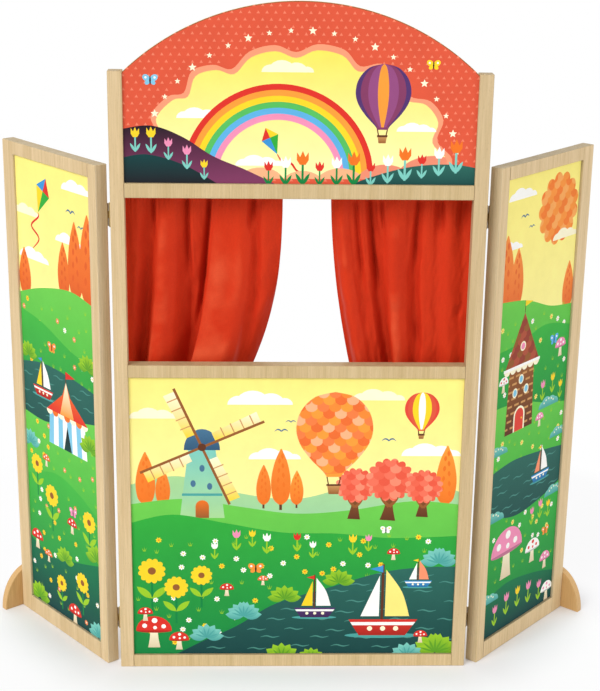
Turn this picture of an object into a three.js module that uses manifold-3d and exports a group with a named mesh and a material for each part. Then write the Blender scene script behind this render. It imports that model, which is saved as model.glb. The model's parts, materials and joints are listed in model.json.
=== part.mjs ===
// A folding puppet theater stand: a centre frame with an arched top and a curtained stage, and two lower
// wings hinged behind its outer edges. Lengths are millimetres, +Z is up, +Y points away from the audience,
// and the origin lies under the middle of the centre frame's bottom rail. Left and right are the audience's.
import * as THREE from 'three'
import { mergeVertices } from 'three/addons/utils/BufferGeometryUtils.js'
import Module from 'manifold-3d'

const wasm = await Module()
wasm.setup()

// Bars, shared by the centre frame and the wings
const BAR_THICKNESS = 22
const ARRIS_RADIUS = 1.6
const END_CHAMFER = 0.8
const FIT_GAP = 0.3
const OVERRUN = 2

// Centre frame
const FRAME_WIDTH = 580
const FRAME_HEIGHT = 1000
const POST_WIDTH = 22
const BOTTOM_RAIL_HEIGHT = 22
const STAGE_RAIL_HEIGHT = 21
const STAGE_RAIL_TOP = 537
const STAGE_OPENING_HEIGHT = 270
const UPPER_RAIL_HEIGHT = 23
const ARCH_RISE = 107
const ARCH_SPRING_DROP = 2

// Printed panels, and the grooves that hold them and the rails' stub tenons
const PANEL_THICKNESS = 4
const PANEL_RECESS = 4.5
const TONGUE_DEPTH = 5.5
const GROOVE_SLACK = 0.5
const GROOVE_STOP = 4

// Wings
const WING_WIDTH = 274
const WING_HEIGHT = 855
const INNER_STILE_WIDTH = 22
const OUTER_STILE_WIDTH = 31
const WING_TOP_RAIL_HEIGHT = 22
const WING_BOTTOM_RAIL_HEIGHT = 31
const WING_GAP = 4
const LEFT_FOLD_DEG = 51
const RIGHT_FOLD_DEG = 48

// Foot plates
const FOOT_REACH = 57
const FOOT_HEIGHT = 75
const FOOT_THICKNESS = 14
const FOOT_CHAMFER = 1.4
const FOOT_SCREW_LOW = 18
const FOOT_SCREW_SPACING = 32

// Hinges
const HINGE_HEIGHT = 36
const LEAF_WIDTH = 14
const LEAF_THICKNESS = 1.2
const BARREL_RADIUS = 2.6
const PIN_RADIUS = 1.2
const PIN_HEAD_RADIUS = 2.1
const PIN_HEAD_HEIGHT = 1
const UPPER_HINGE_DROP = 80
const LOWER_HINGE_RISE = 80
const HINGE_SCREW_REACH = 9
const HINGE_SCREW_SPACING = 22

// Screws
const HINGE_SCREW = { shankRadius: 1.3, shankLength: 11, headRadius: 2.6, headHeight: 1.2 }
const BRACKET_SCREW = { shankRadius: 1.5, shankLength: 14, headRadius: 3, headHeight: 1.5 }
const FOOT_SCREW = { shankRadius: 2, shankLength: 26, headRadius: 4, headHeight: 2.2 }
const SCREW_CROWN_SHARE = 0.7
const SCREW_SHOULDER_SHARE = 0.55
const RECESS_LENGTH_SHARE = 1.15
const RECESS_WIDTH_SHARE = 0.28
const RECESS_DEPTH_SHARE = 0.6

// Curtain rod and its brackets
const ROD_RADIUS = 5
const ROD_SETBACK = 16
const ROD_CHAMFER = 1
const BRACKET_PLATE_WIDTH = 18
const BRACKET_PLATE_HEIGHT = 22
const BRACKET_PLATE_THICKNESS = 2.5
const BRACKET_ARM_WIDTH = 7
const BRACKET_WALL = 3
const BRACKET_INSET = 1

// Curtains, hanging from the rod to below the stage rail's top
const CURTAIN_DROP = 318
const CLOTH_THICKNESS = 2.4
const CASING_THICKNESS = 2
const ROD_RUN_GAP = 0.8
const CURTAIN_END_GAP = 1.5
const BEHIND_POST = 5
const FLARE_START = 14
const FLARE_LENGTH = 14
const FOLD_DEPTH_AT_ROD = 4.5
const FOLD_DEPTH_AT_HEM = 12.5
const CURTAIN_ROWS = 10
const STEPS_PER_FOLD = 4

// Each curtain's leading edge at the rod, how far it is swept back at the hem, and its folds: the places of
// the ridges and valleys as shares of the drawn width from the post, and their depths as shares, where 1 is
// a ridge towards the audience and -1 a valley.
const CURTAINS = [
  {
    name: 'curtain_left',
    side: -1,
    leadingEdge: 25,
    sweep: 53,
    sweepPower: 2.8,
    rodPlaceShares: [0, 0.085, 0.16, 0.27, 0.385, 0.44, 0.535, 0.61, 0.72, 0.815, 0.88, 1],
    hemPlaceShares: [0, 0.04, 0.12, 0.2, 0.43, 0.45, 0.475, 0.52, 0.74, 0.88, 0.93, 1],
    rodDepthShares: [-0.2, 0.3, -0.6, 0.7, -0.8, 0.1, -0.5, 0.7, 0.5, -0.7, 0.5, -0.2],
    hemDepthShares: [-0.6, -0.5, -0.9, 1, -0.9, -0.95, -1, 0.8, 1, -0.6, -0.7, -0.9],
  },
  {
    name: 'curtain_right',
    side: 1,
    leadingEdge: 50,
    sweep: 41,
    sweepPower: 1.8,
    rodPlaceShares: [0, 0.07, 0.17, 0.235, 0.3, 0.39, 0.55, 0.74, 0.8, 0.86, 0.935, 1],
    hemPlaceShares: [0, 0.03, 0.11, 0.25, 0.36, 0.46, 0.57, 0.68, 0.74, 0.79, 0.89, 1],
    rodDepthShares: [-0.2, -0.6, 0.5, -0.4, 0.4, -0.8, 0.8, -0.9, 0, -0.6, 0.5, -0.3],
    hemDepthShares: [-0.3, -0.2, 0.6, -0.7, 0.4, -0.4, 1, -1, -0.5, -0.3, 0.7, -0.1],
  },
]

// Counts of flat sides on round pieces
const ARRIS_STEPS = 2
const ARCH_STEPS = 40
const FOOT_STEPS = 12
const SCREW_SIDES = 10
const BARREL_SIDES = 14
const ROD_SIDES = 20

// Places worked out from the sizes above
const FRONT = -BAR_THICKNESS / 2
const BACK = BAR_THICKNESS / 2
const HALF_OPENING = FRAME_WIDTH / 2 - POST_WIDTH
const POST_X = FRAME_WIDTH / 2 - POST_WIDTH / 2
const STAGE_RAIL_LOW = STAGE_RAIL_TOP - STAGE_RAIL_HEIGHT
const UPPER_RAIL_LOW = STAGE_RAIL_TOP + STAGE_OPENING_HEIGHT
const UPPER_RAIL_TOP = UPPER_RAIL_LOW + UPPER_RAIL_HEIGHT
const GROOVE_FRONT = FRONT + PANEL_RECESS - FIT_GAP
const GROOVE_BACK = FRONT + PANEL_RECESS + PANEL_THICKNESS + FIT_GAP
const PANEL_Y = FRONT + PANEL_RECESS + PANEL_THICKNESS / 2
const GROOVE_DEPTH = TONGUE_DEPTH + GROOVE_SLACK
const PIN_X = FRAME_WIDTH / 2 + WING_GAP / 2
const PIN_Y = BACK + FIT_GAP + BARREL_RADIUS
const WING_CLEAR_WIDTH = WING_WIDTH - INNER_STILE_WIDTH - OUTER_STILE_WIDTH
const WING_PANEL_X = WING_GAP / 2 + INNER_STILE_WIDTH + WING_CLEAR_WIDTH / 2
const WING_BACK_Y = BACK - PIN_Y
const FOOT_SCREW_HEIGHTS = [FOOT_SCREW_LOW, FOOT_SCREW_LOW + FOOT_SCREW_SPACING]
const FOOT_GRIP = FOOT_SCREW.shankLength - FOOT_THICKNESS - FIT_GAP
const ROD_Y = BACK + ROD_SETBACK
const ROD_Z = UPPER_RAIL_LOW + UPPER_RAIL_HEIGHT / 2
const BRACKET_X = HALF_OPENING + BRACKET_INSET
const ROD_HALF_LENGTH = BRACKET_X + BRACKET_ARM_WIDTH
const BRACKET_SCREW_X = BRACKET_X + (BRACKET_ARM_WIDTH + BRACKET_PLATE_WIDTH) / 2
const BRACKET_SEAT = BACK + BRACKET_PLATE_THICKNESS + 2 * FIT_GAP

// The upper hinge shares the back of the post with the rod's bracket: where the two would meet, it goes below.
const HINGE_TO_ROD = (BRACKET_PLATE_HEIGHT + HINGE_HEIGHT) / 2 + FIT_GAP
const HINGE_BELOW_WING_TOP = WING_HEIGHT - UPPER_HINGE_DROP
const HINGE_MEETS_BRACKET = Math.abs(HINGE_BELOW_WING_TOP - ROD_Z) < HINGE_TO_ROD
const HINGES = [
  { name: 'upper', z: HINGE_MEETS_BRACKET ? ROD_Z - HINGE_TO_ROD : HINGE_BELOW_WING_TOP },
  { name: 'lower', z: LOWER_HINGE_RISE },
]
const HINGE_SCREW_SEAT = BACK + LEAF_THICKNESS + 2 * FIT_GAP
const HINGE_SCREW_HEIGHTS = HINGES.flatMap(({ z }) => [
  z + HINGE_SCREW_SPACING / 2,
  z - HINGE_SCREW_SPACING / 2,
])

const COLOURS = {
  frame: [0xdcc08e, 0.62, 0],
  foot: [0xd9b57a, 0.6, 0],
  panel: [0xf3dd78, 0.45, 0],
  archPanel: [0xec5c42, 0.45, 0],
  curtain: [0xcf3320, 0.5, 0],
  brass: [0xb59a5c, 0.35, 0.9],
  steel: [0xb9b7b2, 0.35, 0.9],
  rod: [0xd8bd8c, 0.6, 0],
}

const theater = new THREE.Group()

// Turns a closed geometry into a solid that can be joined and cut.
function solidOf(geometry) {
  const bare = geometry.clone()
  bare.deleteAttribute('normal')
  bare.deleteAttribute('uv')
  const welded = mergeVertices(bare)
  const vertProperties = Float32Array.from(welded.attributes.position.array)
  const triVerts = Uint32Array.from(welded.index.array)
  return new wasm.Manifold(new wasm.Mesh({ numProp: 3, vertProperties, triVerts }))
}

// Adds a solid to the scene graph as one named mesh with a material of its own.
function place(parent, name, solid, finish, x = 0, y = 0, z = 0) {
  const { vertProperties, triVerts } = solid.getMesh()
  const geometry = new THREE.BufferGeometry()
  geometry.setAttribute('position', new THREE.BufferAttribute(Float32Array.from(vertProperties), 3))
  geometry.setIndex(new THREE.BufferAttribute(Uint32Array.from(triVerts), 1))
  geometry.computeVertexNormals()
  const [color, roughness, metalness] = COLOURS[finish]
  const mesh = new THREE.Mesh(geometry, new THREE.MeshStandardMaterial({ color, roughness, metalness }))
  mesh.name = name
  mesh.position.set(x, y, z)
  parent.add(mesh)
  return mesh
}

// A block between two corners, in any order of each pair.
function block(x0, x1, y0, y1, z0, z1) {
  const geometry = new THREE.BoxGeometry(Math.abs(x1 - x0), Math.abs(y1 - y0), Math.abs(z1 - z0))
  geometry.translate((x0 + x1) / 2, (y0 + y1) / 2, (z0 + z1) / 2)
  return solidOf(geometry)
}

// A round bar whose axis runs along x, y or z, between two places on that axis.
function round(axis, radius, from, to, sides, across = [0, 0]) {
  const geometry = new THREE.CylinderGeometry(radius, radius, to - from, sides)
  geometry.translate(0, (from + to) / 2, 0)
  if (axis === 'x') geometry.rotateZ(-Math.PI / 2).translate(0, across[0], across[1])
  if (axis === 'y') geometry.translate(across[0], 0, across[1])
  if (axis === 'z') geometry.rotateX(Math.PI / 2).translate(across[0], across[1], 0)
  return solidOf(geometry)
}

// A bar standing on z = 0, with rounded long edges and ends chamfered by the given amount, or square.
function bar(width, depth, length, chamfer) {
  const r = ARRIS_RADIUS
  const [w, d] = [width / 2, depth / 2]
  const outline = new THREE.Shape()
  outline.absarc(w - r, d - r, r, 0, Math.PI / 2)
  outline.absarc(r - w, d - r, r, Math.PI / 2, Math.PI)
  outline.absarc(r - w, r - d, r, Math.PI, 1.5 * Math.PI)
  outline.absarc(w - r, r - d, r, 1.5 * Math.PI, 2 * Math.PI)
  const geometry = new THREE.ExtrudeGeometry(outline, {
    depth: length - 2 * chamfer,
    curveSegments: ARRIS_STEPS,
    bevelEnabled: chamfer > 0,
    bevelThickness: chamfer,
    bevelSize: chamfer,
    bevelOffset: -chamfer,
    bevelSegments: 1,
  })
  geometry.translate(0, 0, chamfer)
  return geometry
}

// A post or stile, with a groove along the inner edge between each pair of heights.
function upright(width, height, inward, grooves) {
  let solid = solidOf(bar(width, BAR_THICKNESS, height, END_CHAMFER))
  const edge = inward * width / 2
  for (const [low, high] of grooves) {
    solid = solid.subtract(block(
      edge - inward * GROOVE_DEPTH, edge + inward * OVERRUN, GROOVE_FRONT, GROOVE_BACK, low, high,
    ))
  }
  return solid
}

// A rail centred on x = 0 with its foot on z = 0: square shoulders, a stub tenon at each end between the two
// heights, and a panel groove in its upper or lower edge.
function rail(clearWidth, height, { tenonLow, tenonHigh, grooveAbove = false, grooveBelow = false }) {
  const length = clearWidth - 2 * FIT_GAP
  const geometry = bar(height, BAR_THICKNESS, length, 0)
  geometry.translate(height / 2, 0, -length / 2).rotateY(-Math.PI / 2)
  const reach = clearWidth / 2 + TONGUE_DEPTH
  let solid = solidOf(geometry).add(block(
    -reach, reach, PANEL_Y - PANEL_THICKNESS / 2, PANEL_Y + PANEL_THICKNESS / 2, tenonLow, tenonHigh,
  ))
  const end = reach + OVERRUN
  if (grooveAbove) {
    solid = solid.subtract(block(
      -end, end, GROOVE_FRONT, GROOVE_BACK, height - GROOVE_DEPTH, height + OVERRUN,
    ))
  }
  if (grooveBelow) {
    solid = solid.subtract(block(-end, end, GROOVE_FRONT, GROOVE_BACK, -OVERRUN, GROOVE_DEPTH))
  }
  return solid
}

// A screw with its head towards +Y and the head's seat at y = 0: pointed shank, crowned head, crossed recess.
function screw({ shankRadius, shankLength, headRadius, headHeight }) {
  const profile = [
    new THREE.Vector2(0, -shankLength),
    new THREE.Vector2(shankRadius, 2 * shankRadius - shankLength),
    new THREE.Vector2(shankRadius, 0),
    new THREE.Vector2(headRadius, 0),
    new THREE.Vector2(headRadius, headHeight * SCREW_SHOULDER_SHARE),
    new THREE.Vector2(headRadius * SCREW_CROWN_SHARE, headHeight),
    new THREE.Vector2(0, headHeight),
  ]
  let solid = solidOf(new THREE.LatheGeometry(profile, SCREW_SIDES))
  const long = headRadius * RECESS_LENGTH_SHARE / 2
  const slim = headRadius * RECESS_WIDTH_SHARE / 2
  const floor = headHeight * (1 - RECESS_DEPTH_SHARE)
  const top = headHeight + OVERRUN
  solid = solid.subtract(block(-long, long, floor, top, -slim, slim))
  return solid.subtract(block(-slim, slim, floor, top, -long, long))
}

// The hole that a screw needs in the pieces it passes, along y from the seat.
function screwHole({ shankRadius, shankLength }, x, z, seat) {
  const floor = seat - shankLength - FIT_GAP
  return round('y', shankRadius + FIT_GAP, floor, seat + OVERRUN, SCREW_SIDES, [x, z])
}

// A post of the centre frame, grooved for both panels and drilled for the hinges and the rod's bracket.
function post(side) {
  let solid = upright(POST_WIDTH, FRAME_HEIGHT, -side, [
    [-OVERRUN, STAGE_RAIL_TOP - GROOVE_STOP],
    [UPPER_RAIL_LOW + GROOVE_STOP, FRAME_HEIGHT + OVERRUN],
  ])
  const hingeX = side * (PIN_X - HINGE_SCREW_REACH - POST_X)
  for (const z of HINGE_SCREW_HEIGHTS) {
    solid = solid.subtract(screwHole(HINGE_SCREW, hingeX, z, HINGE_SCREW_SEAT))
  }
  const bracketX = side * (BRACKET_SCREW_X - POST_X)
  return solid.subtract(screwHole(BRACKET_SCREW, bracketX, ROD_Z, BRACKET_SEAT))
}

// Rails of the centre frame
const CENTRE_RAILS = [
  {
    name: 'bottom_rail',
    low: 0,
    height: BOTTOM_RAIL_HEIGHT,
    shape: { tenonLow: 0, tenonHigh: BOTTOM_RAIL_HEIGHT, grooveAbove: true },
  },
  {
    name: 'stage_rail',
    low: STAGE_RAIL_LOW,
    height: STAGE_RAIL_HEIGHT,
    shape: { tenonLow: 0, tenonHigh: STAGE_RAIL_HEIGHT - GROOVE_STOP - FIT_GAP, grooveBelow: true },
  },
  {
    name: 'upper_rail',
    low: UPPER_RAIL_LOW,
    height: UPPER_RAIL_HEIGHT,
    shape: { tenonLow: GROOVE_STOP + FIT_GAP, tenonHigh: UPPER_RAIL_HEIGHT, grooveAbove: true },
  },
]

// A flat panel whose tongues reach into the grooves around an opening that starts at z = 0.
function panel(width, height) {
  return block(
    -width / 2, width / 2, -PANEL_THICKNESS / 2, PANEL_THICKNESS / 2, -TONGUE_DEPTH, height + TONGUE_DEPTH,
  )
}

// The arched panel: its top is one arc that springs from the posts' inner faces and runs on into the grooves,
// and its foot is cut straight where it stands in the rail's groove.
function archPanel() {
  const radius = (HALF_OPENING ** 2 + ARCH_RISE ** 2) / (2 * ARCH_RISE)
  const spring = FRAME_HEIGHT - ARCH_SPRING_DROP - UPPER_RAIL_TOP
  const centre = spring + ARCH_RISE - radius
  const half = HALF_OPENING + TONGUE_DEPTH
  const angle = Math.acos(half / radius)
  const arcEnd = centre + radius * Math.sin(angle)
  const blankLow = Math.min(arcEnd, -TONGUE_DEPTH) - OVERRUN
  const outline = new THREE.Shape()
  outline.moveTo(-half, blankLow)
  outline.lineTo(half, blankLow)
  outline.absarc(0, centre, radius, angle, Math.PI - angle)
  const geometry = new THREE.ExtrudeGeometry(outline, {
    depth: PANEL_THICKNESS,
    curveSegments: ARCH_STEPS,
    bevelEnabled: false,
  })
  geometry.translate(0, 0, -PANEL_THICKNESS / 2).rotateX(Math.PI / 2)
  const side = half + OVERRUN
  return solidOf(geometry).subtract(block(
    -side, side, -PANEL_THICKNESS, PANEL_THICKNESS, blankLow - OVERRUN, -TONGUE_DEPTH,
  ))
}

function addCentreFrame() {
  for (const [side, name] of [[-1, 'post_left'], [1, 'post_right']]) {
    place(theater, name, post(side), 'frame', side * POST_X)
  }
  for (const { name, low, height, shape } of CENTRE_RAILS) {
    place(theater, name, rail(2 * HALF_OPENING, height, shape), 'frame', 0, 0, low)
  }
  const lowerHeight = STAGE_RAIL_LOW - BOTTOM_RAIL_HEIGHT
  const lowerWidth = 2 * (HALF_OPENING + TONGUE_DEPTH)
  place(theater, 'lower_panel', panel(lowerWidth, lowerHeight), 'panel', 0, PANEL_Y, BOTTOM_RAIL_HEIGHT)
  place(theater, 'arch_panel', archPanel(), 'archPanel', 0, PANEL_Y, UPPER_RAIL_TOP)
}

// A hinge leaf with its pin axis at x = 0, y = 0, reaching along x in the given direction. It holds the
// middle knuckle or the two outer ones, and is cut back around the others.
function leaf(direction, holdsMiddle) {
  const half = HINGE_HEIGHT / 2
  const inner = half / 3
  const outer = [[-half, -inner], [inner, half]]
  const middle = [[-inner, inner]]
  const [own, other] = holdsMiddle ? [middle, outer] : [outer, middle]
  const front = -BARREL_RADIUS
  let solid = block(0, direction * LEAF_WIDTH, front, front + LEAF_THICKNESS, -half, half)
  const clear = BARREL_RADIUS + FIT_GAP
  for (const [low, high] of other) {
    solid = solid.subtract(block(
      -clear, clear, -clear, clear,
      low === -half ? low - OVERRUN : low - FIT_GAP / 2,
      high === half ? high + OVERRUN : high + FIT_GAP / 2,
    ))
  }
  for (const [low, high] of own) {
    solid = solid.add(round(
      'z', BARREL_RADIUS,
      low === -half ? low : low + FIT_GAP / 2,
      high === half ? high : high - FIT_GAP / 2,
      BARREL_SIDES,
    ))
  }
  solid = solid.subtract(round('z', PIN_RADIUS + FIT_GAP, -half - OVERRUN, half + OVERRUN, BARREL_SIDES))
  for (const z of [-HINGE_SCREW_SPACING / 2, HINGE_SCREW_SPACING / 2]) {
    solid = solid.subtract(screwHole(HINGE_SCREW, direction * HINGE_SCREW_REACH, z, front + LEAF_THICKNESS))
  }
  return solid
}

// A hinge pin along z with a flat head past each end of the barrel.
function hingePin() {
  const half = HINGE_HEIGHT / 2 + FIT_GAP
  const tip = half + PIN_HEAD_HEIGHT
  return round('z', PIN_RADIUS, -tip, tip, BARREL_SIDES)
    .add(round('z', PIN_HEAD_RADIUS, -tip, -half, BARREL_SIDES))
    .add(round('z', PIN_HEAD_RADIUS, half, tip, BARREL_SIDES))
}

// The hinges on one side: post leaves and pins go on the centre frame, wing leaves on the wing.
function addHinges(side, label, wing) {
  for (const { name, z } of HINGES) {
    const prefix = `hinge_${label}_${name}`
    place(theater, `${prefix}_post_leaf`, leaf(-side, false), 'brass', side * PIN_X, PIN_Y, z)
    place(theater, `${prefix}_pin`, hingePin(), 'brass', side * PIN_X, PIN_Y, z)
    place(wing, `${prefix}_wing_leaf`, leaf(side, true), 'brass', 0, 0, z)
    for (const [end, step] of [['top', 1], ['low', -1]]) {
      const height = z + step * HINGE_SCREW_SPACING / 2
      const onPost = side * (PIN_X - HINGE_SCREW_REACH)
      const onWing = side * HINGE_SCREW_REACH
      const wingSeat = HINGE_SCREW_SEAT - PIN_Y
      const postName = `${prefix}_post_screw_${end}`
      const wingName = `${prefix}_wing_screw_${end}`
      place(theater, postName, screw(HINGE_SCREW), 'brass', onPost, HINGE_SCREW_SEAT, height)
      place(wing, wingName, screw(HINGE_SCREW), 'brass', onWing, wingSeat, height)
    }
  }
}

// A foot plate in the y-z plane, centred on x = 0: its back edge is straight and flush with the wing's back,
// and a quarter ellipse runs from the top of that edge to the tip on the floor.
function foot() {
  const outline = new THREE.Shape()
  outline.moveTo(0, 0)
  outline.lineTo(FOOT_REACH, 0)
  outline.absellipse(0, 0, FOOT_REACH, FOOT_HEIGHT, 0, Math.PI / 2)
  outline.closePath()
  const geometry = new THREE.ExtrudeGeometry(outline, {
    depth: FOOT_THICKNESS - 2 * FOOT_CHAMFER,
    curveSegments: FOOT_STEPS,
    bevelThickness: FOOT_CHAMFER,
    bevelSize: FOOT_CHAMFER,
    bevelOffset: -FOOT_CHAMFER,
    bevelSegments: 1,
  })
  geometry.translate(0, 0, FOOT_CHAMFER - FOOT_THICKNESS / 2)
  geometry.rotateX(Math.PI / 2).rotateZ(-Math.PI / 2)
  let solid = solidOf(geometry)
  const reach = FOOT_THICKNESS / 2 + OVERRUN
  for (const z of FOOT_SCREW_HEIGHTS) {
    solid = solid.subtract(
      round('x', FOOT_SCREW.shankRadius + FIT_GAP, -reach, reach, SCREW_SIDES, [-BAR_THICKNESS / 2, z]),
    )
  }
  return solid
}

// One wing, in a group that turns about its hinge pins. In the group the wing lies flat along x.
function addWing(side, label, foldDegrees) {
  const wing = new THREE.Group()
  wing.position.set(side * PIN_X, PIN_Y, 0)
  wing.rotation.z = side * THREE.MathUtils.degToRad(foldDegrees)
  theater.add(wing)

  const fullGroove = [[-OVERRUN, WING_HEIGHT + OVERRUN]]
  let inner = upright(INNER_STILE_WIDTH, WING_HEIGHT, side, fullGroove)
  let outer = upright(OUTER_STILE_WIDTH, WING_HEIGHT, -side, fullGroove)
  const innerX = side * (WING_GAP / 2 + INNER_STILE_WIDTH / 2)
  const outerX = side * (WING_GAP / 2 + WING_WIDTH - OUTER_STILE_WIDTH / 2)
  for (const z of HINGE_SCREW_HEIGHTS) {
    inner = inner.subtract(screwHole(HINGE_SCREW, side * HINGE_SCREW_REACH - innerX, z, HINGE_SCREW_SEAT))
  }
  const face = side * OUTER_STILE_WIDTH / 2
  for (const z of FOOT_SCREW_HEIGHTS) {
    const ends = [face - side * (FOOT_GRIP + FIT_GAP), face + side * OVERRUN]
    ends.sort((a, b) => a - b)
    outer = outer.subtract(round('x', FOOT_SCREW.shankRadius + FIT_GAP, ...ends, SCREW_SIDES, [0, z]))
  }
  const prefix = `wing_${label}`
  place(wing, `${prefix}_inner_stile`, inner, 'frame', innerX, -PIN_Y)
  place(wing, `${prefix}_outer_stile`, outer, 'frame', outerX, -PIN_Y)

  const middleX = side * WING_PANEL_X
  const topRail = rail(WING_CLEAR_WIDTH, WING_TOP_RAIL_HEIGHT, {
    tenonLow: 0,
    tenonHigh: WING_TOP_RAIL_HEIGHT,
    grooveBelow: true,
  })
  const bottomRail = rail(WING_CLEAR_WIDTH, WING_BOTTOM_RAIL_HEIGHT, {
    tenonLow: 0,
    tenonHigh: WING_BOTTOM_RAIL_HEIGHT,
    grooveAbove: true,
  })
  const topRailLow = WING_HEIGHT - WING_TOP_RAIL_HEIGHT
  place(wing, `${prefix}_top_rail`, topRail, 'frame', middleX, -PIN_Y, topRailLow)
  place(wing, `${prefix}_bottom_rail`, bottomRail, 'frame', middleX, -PIN_Y)
  const wingPanel = panel(WING_CLEAR_WIDTH + 2 * TONGUE_DEPTH, topRailLow - WING_BOTTOM_RAIL_HEIGHT)
  place(wing, `${prefix}_panel`, wingPanel, 'panel', middleX, PANEL_Y - PIN_Y, WING_BOTTOM_RAIL_HEIGHT)

  const sideFace = WING_GAP / 2 + WING_WIDTH + FIT_GAP
  const footX = side * (sideFace + FOOT_THICKNESS / 2)
  place(wing, `${prefix}_foot`, foot(), 'foot', footX, WING_BACK_Y)
  const seatX = side * (sideFace + FOOT_THICKNESS + FIT_GAP)
  for (const [end, z] of [['low', FOOT_SCREW_HEIGHTS[0]], ['top', FOOT_SCREW_HEIGHTS[1]]]) {
    const name = `${prefix}_foot_screw_${end}`
    const mesh = place(wing, name, screw(FOOT_SCREW), 'steel', seatX, -PIN_Y, z)
    mesh.rotation.z = -side * Math.PI / 2
  }
  addHinges(side, label, wing)
}

// A bracket for one end of the rod: a plate on the post's back and an arm with a slot open at the top.
function rodBracket(side) {
  const plateFront = BACK + FIT_GAP - ROD_Y
  const plateBack = plateFront + BRACKET_PLATE_THICKNESS
  const halfPlate = BRACKET_PLATE_HEIGHT / 2
  const slot = ROD_RADIUS + FIT_GAP
  const cup = slot + BRACKET_WALL
  const armEnd = side * BRACKET_ARM_WIDTH
  return block(0, side * BRACKET_PLATE_WIDTH, plateFront, plateBack, -halfPlate, halfPlate)
    .add(block(0, armEnd, plateFront, 0, -cup, ROD_RADIUS))
    .add(round('x', cup, Math.min(0, armEnd), Math.max(0, armEnd), ROD_SIDES)
      .subtract(block(-cup, cup, -cup, cup + OVERRUN, ROD_RADIUS, cup + OVERRUN)))
    .subtract(round('x', slot, -cup, cup, ROD_SIDES))
    .subtract(block(-cup, cup, -slot, slot, 0, cup + OVERRUN))
    .subtract(round(
      'y', BRACKET_SCREW.shankRadius + FIT_GAP, plateFront - OVERRUN, plateBack + OVERRUN, SCREW_SIDES,
      [side * (BRACKET_SCREW_X - BRACKET_X), 0],
    ))
}

// The rod along x with chamfered ends.
function rod() {
  const half = ROD_HALF_LENGTH
  const profile = [
    new THREE.Vector2(0, -half),
    new THREE.Vector2(ROD_RADIUS - ROD_CHAMFER, -half),
    new THREE.Vector2(ROD_RADIUS, ROD_CHAMFER - half),
    new THREE.Vector2(ROD_RADIUS, half - ROD_CHAMFER),
    new THREE.Vector2(ROD_RADIUS - ROD_CHAMFER, half),
    new THREE.Vector2(0, half),
  ]
  return solidOf(new THREE.LatheGeometry(profile, ROD_SIDES).rotateZ(-Math.PI / 2))
}

function addRod() {
  place(theater, 'curtain_rod', rod(), 'rod', 0, ROD_Y, ROD_Z)
  for (const [side, label] of [[-1, 'left'], [1, 'right']]) {
    const name = `rod_bracket_${label}`
    const screwX = side * BRACKET_SCREW_X
    place(theater, name, rodBracket(side), 'brass', side * BRACKET_X, ROD_Y, ROD_Z)
    place(theater, `${name}_screw`, screw(BRACKET_SCREW), 'brass', screwX, BRACKET_SEAT, ROD_Z)
  }
}

// The places and depths of a curtain's ridges and valleys at a share of its drop.
function foldsAt(curtain, dropShare) {
  const between = (rodShares, hemShares, i) => THREE.MathUtils.lerp(rodShares[i], hemShares[i], dropShare)
  return curtain.rodPlaceShares.map((_, i) => ({
    place: between(curtain.rodPlaceShares, curtain.hemPlaceShares, i),
    depth: between(curtain.rodDepthShares, curtain.hemDepthShares, i),
  }))
}

// A point on the middle of a curtain's cloth, in the rod's frame: columns run from the post to the leading
// edge, with a fixed number between one ridge or valley and the next.
function clothPoint(curtain, column, dropShare) {
  const folds = foldsAt(curtain, dropShare)
  const index = Math.min(Math.floor(column / STEPS_PER_FOLD), folds.length - 2)
  const along = column / STEPS_PER_FOLD - index
  const rounded = (1 - Math.cos(Math.PI * along)) / 2
  const place = THREE.MathUtils.lerp(folds[index].place, folds[index + 1].place, along)
  const depth = THREE.MathUtils.lerp(folds[index].depth, folds[index + 1].depth, rounded)

  const drop = CURTAIN_DROP * dropShare
  const atRod = HALF_OPENING - CURTAIN_END_GAP
  const flare = THREE.MathUtils.smoothstep(drop, FLARE_START, FLARE_START + FLARE_LENGTH)
  const outer = THREE.MathUtils.lerp(atRod, HALF_OPENING + BEHIND_POST, flare)
  const leading = curtain.leadingEdge + curtain.sweep * dropShare ** curtain.sweepPower
  const x = curtain.side * THREE.MathUtils.lerp(outer, leading, place)
  const y = -depth * THREE.MathUtils.lerp(FOLD_DEPTH_AT_ROD, FOLD_DEPTH_AT_HEM, dropShare)
  return [x, y, -drop]
}

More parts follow.
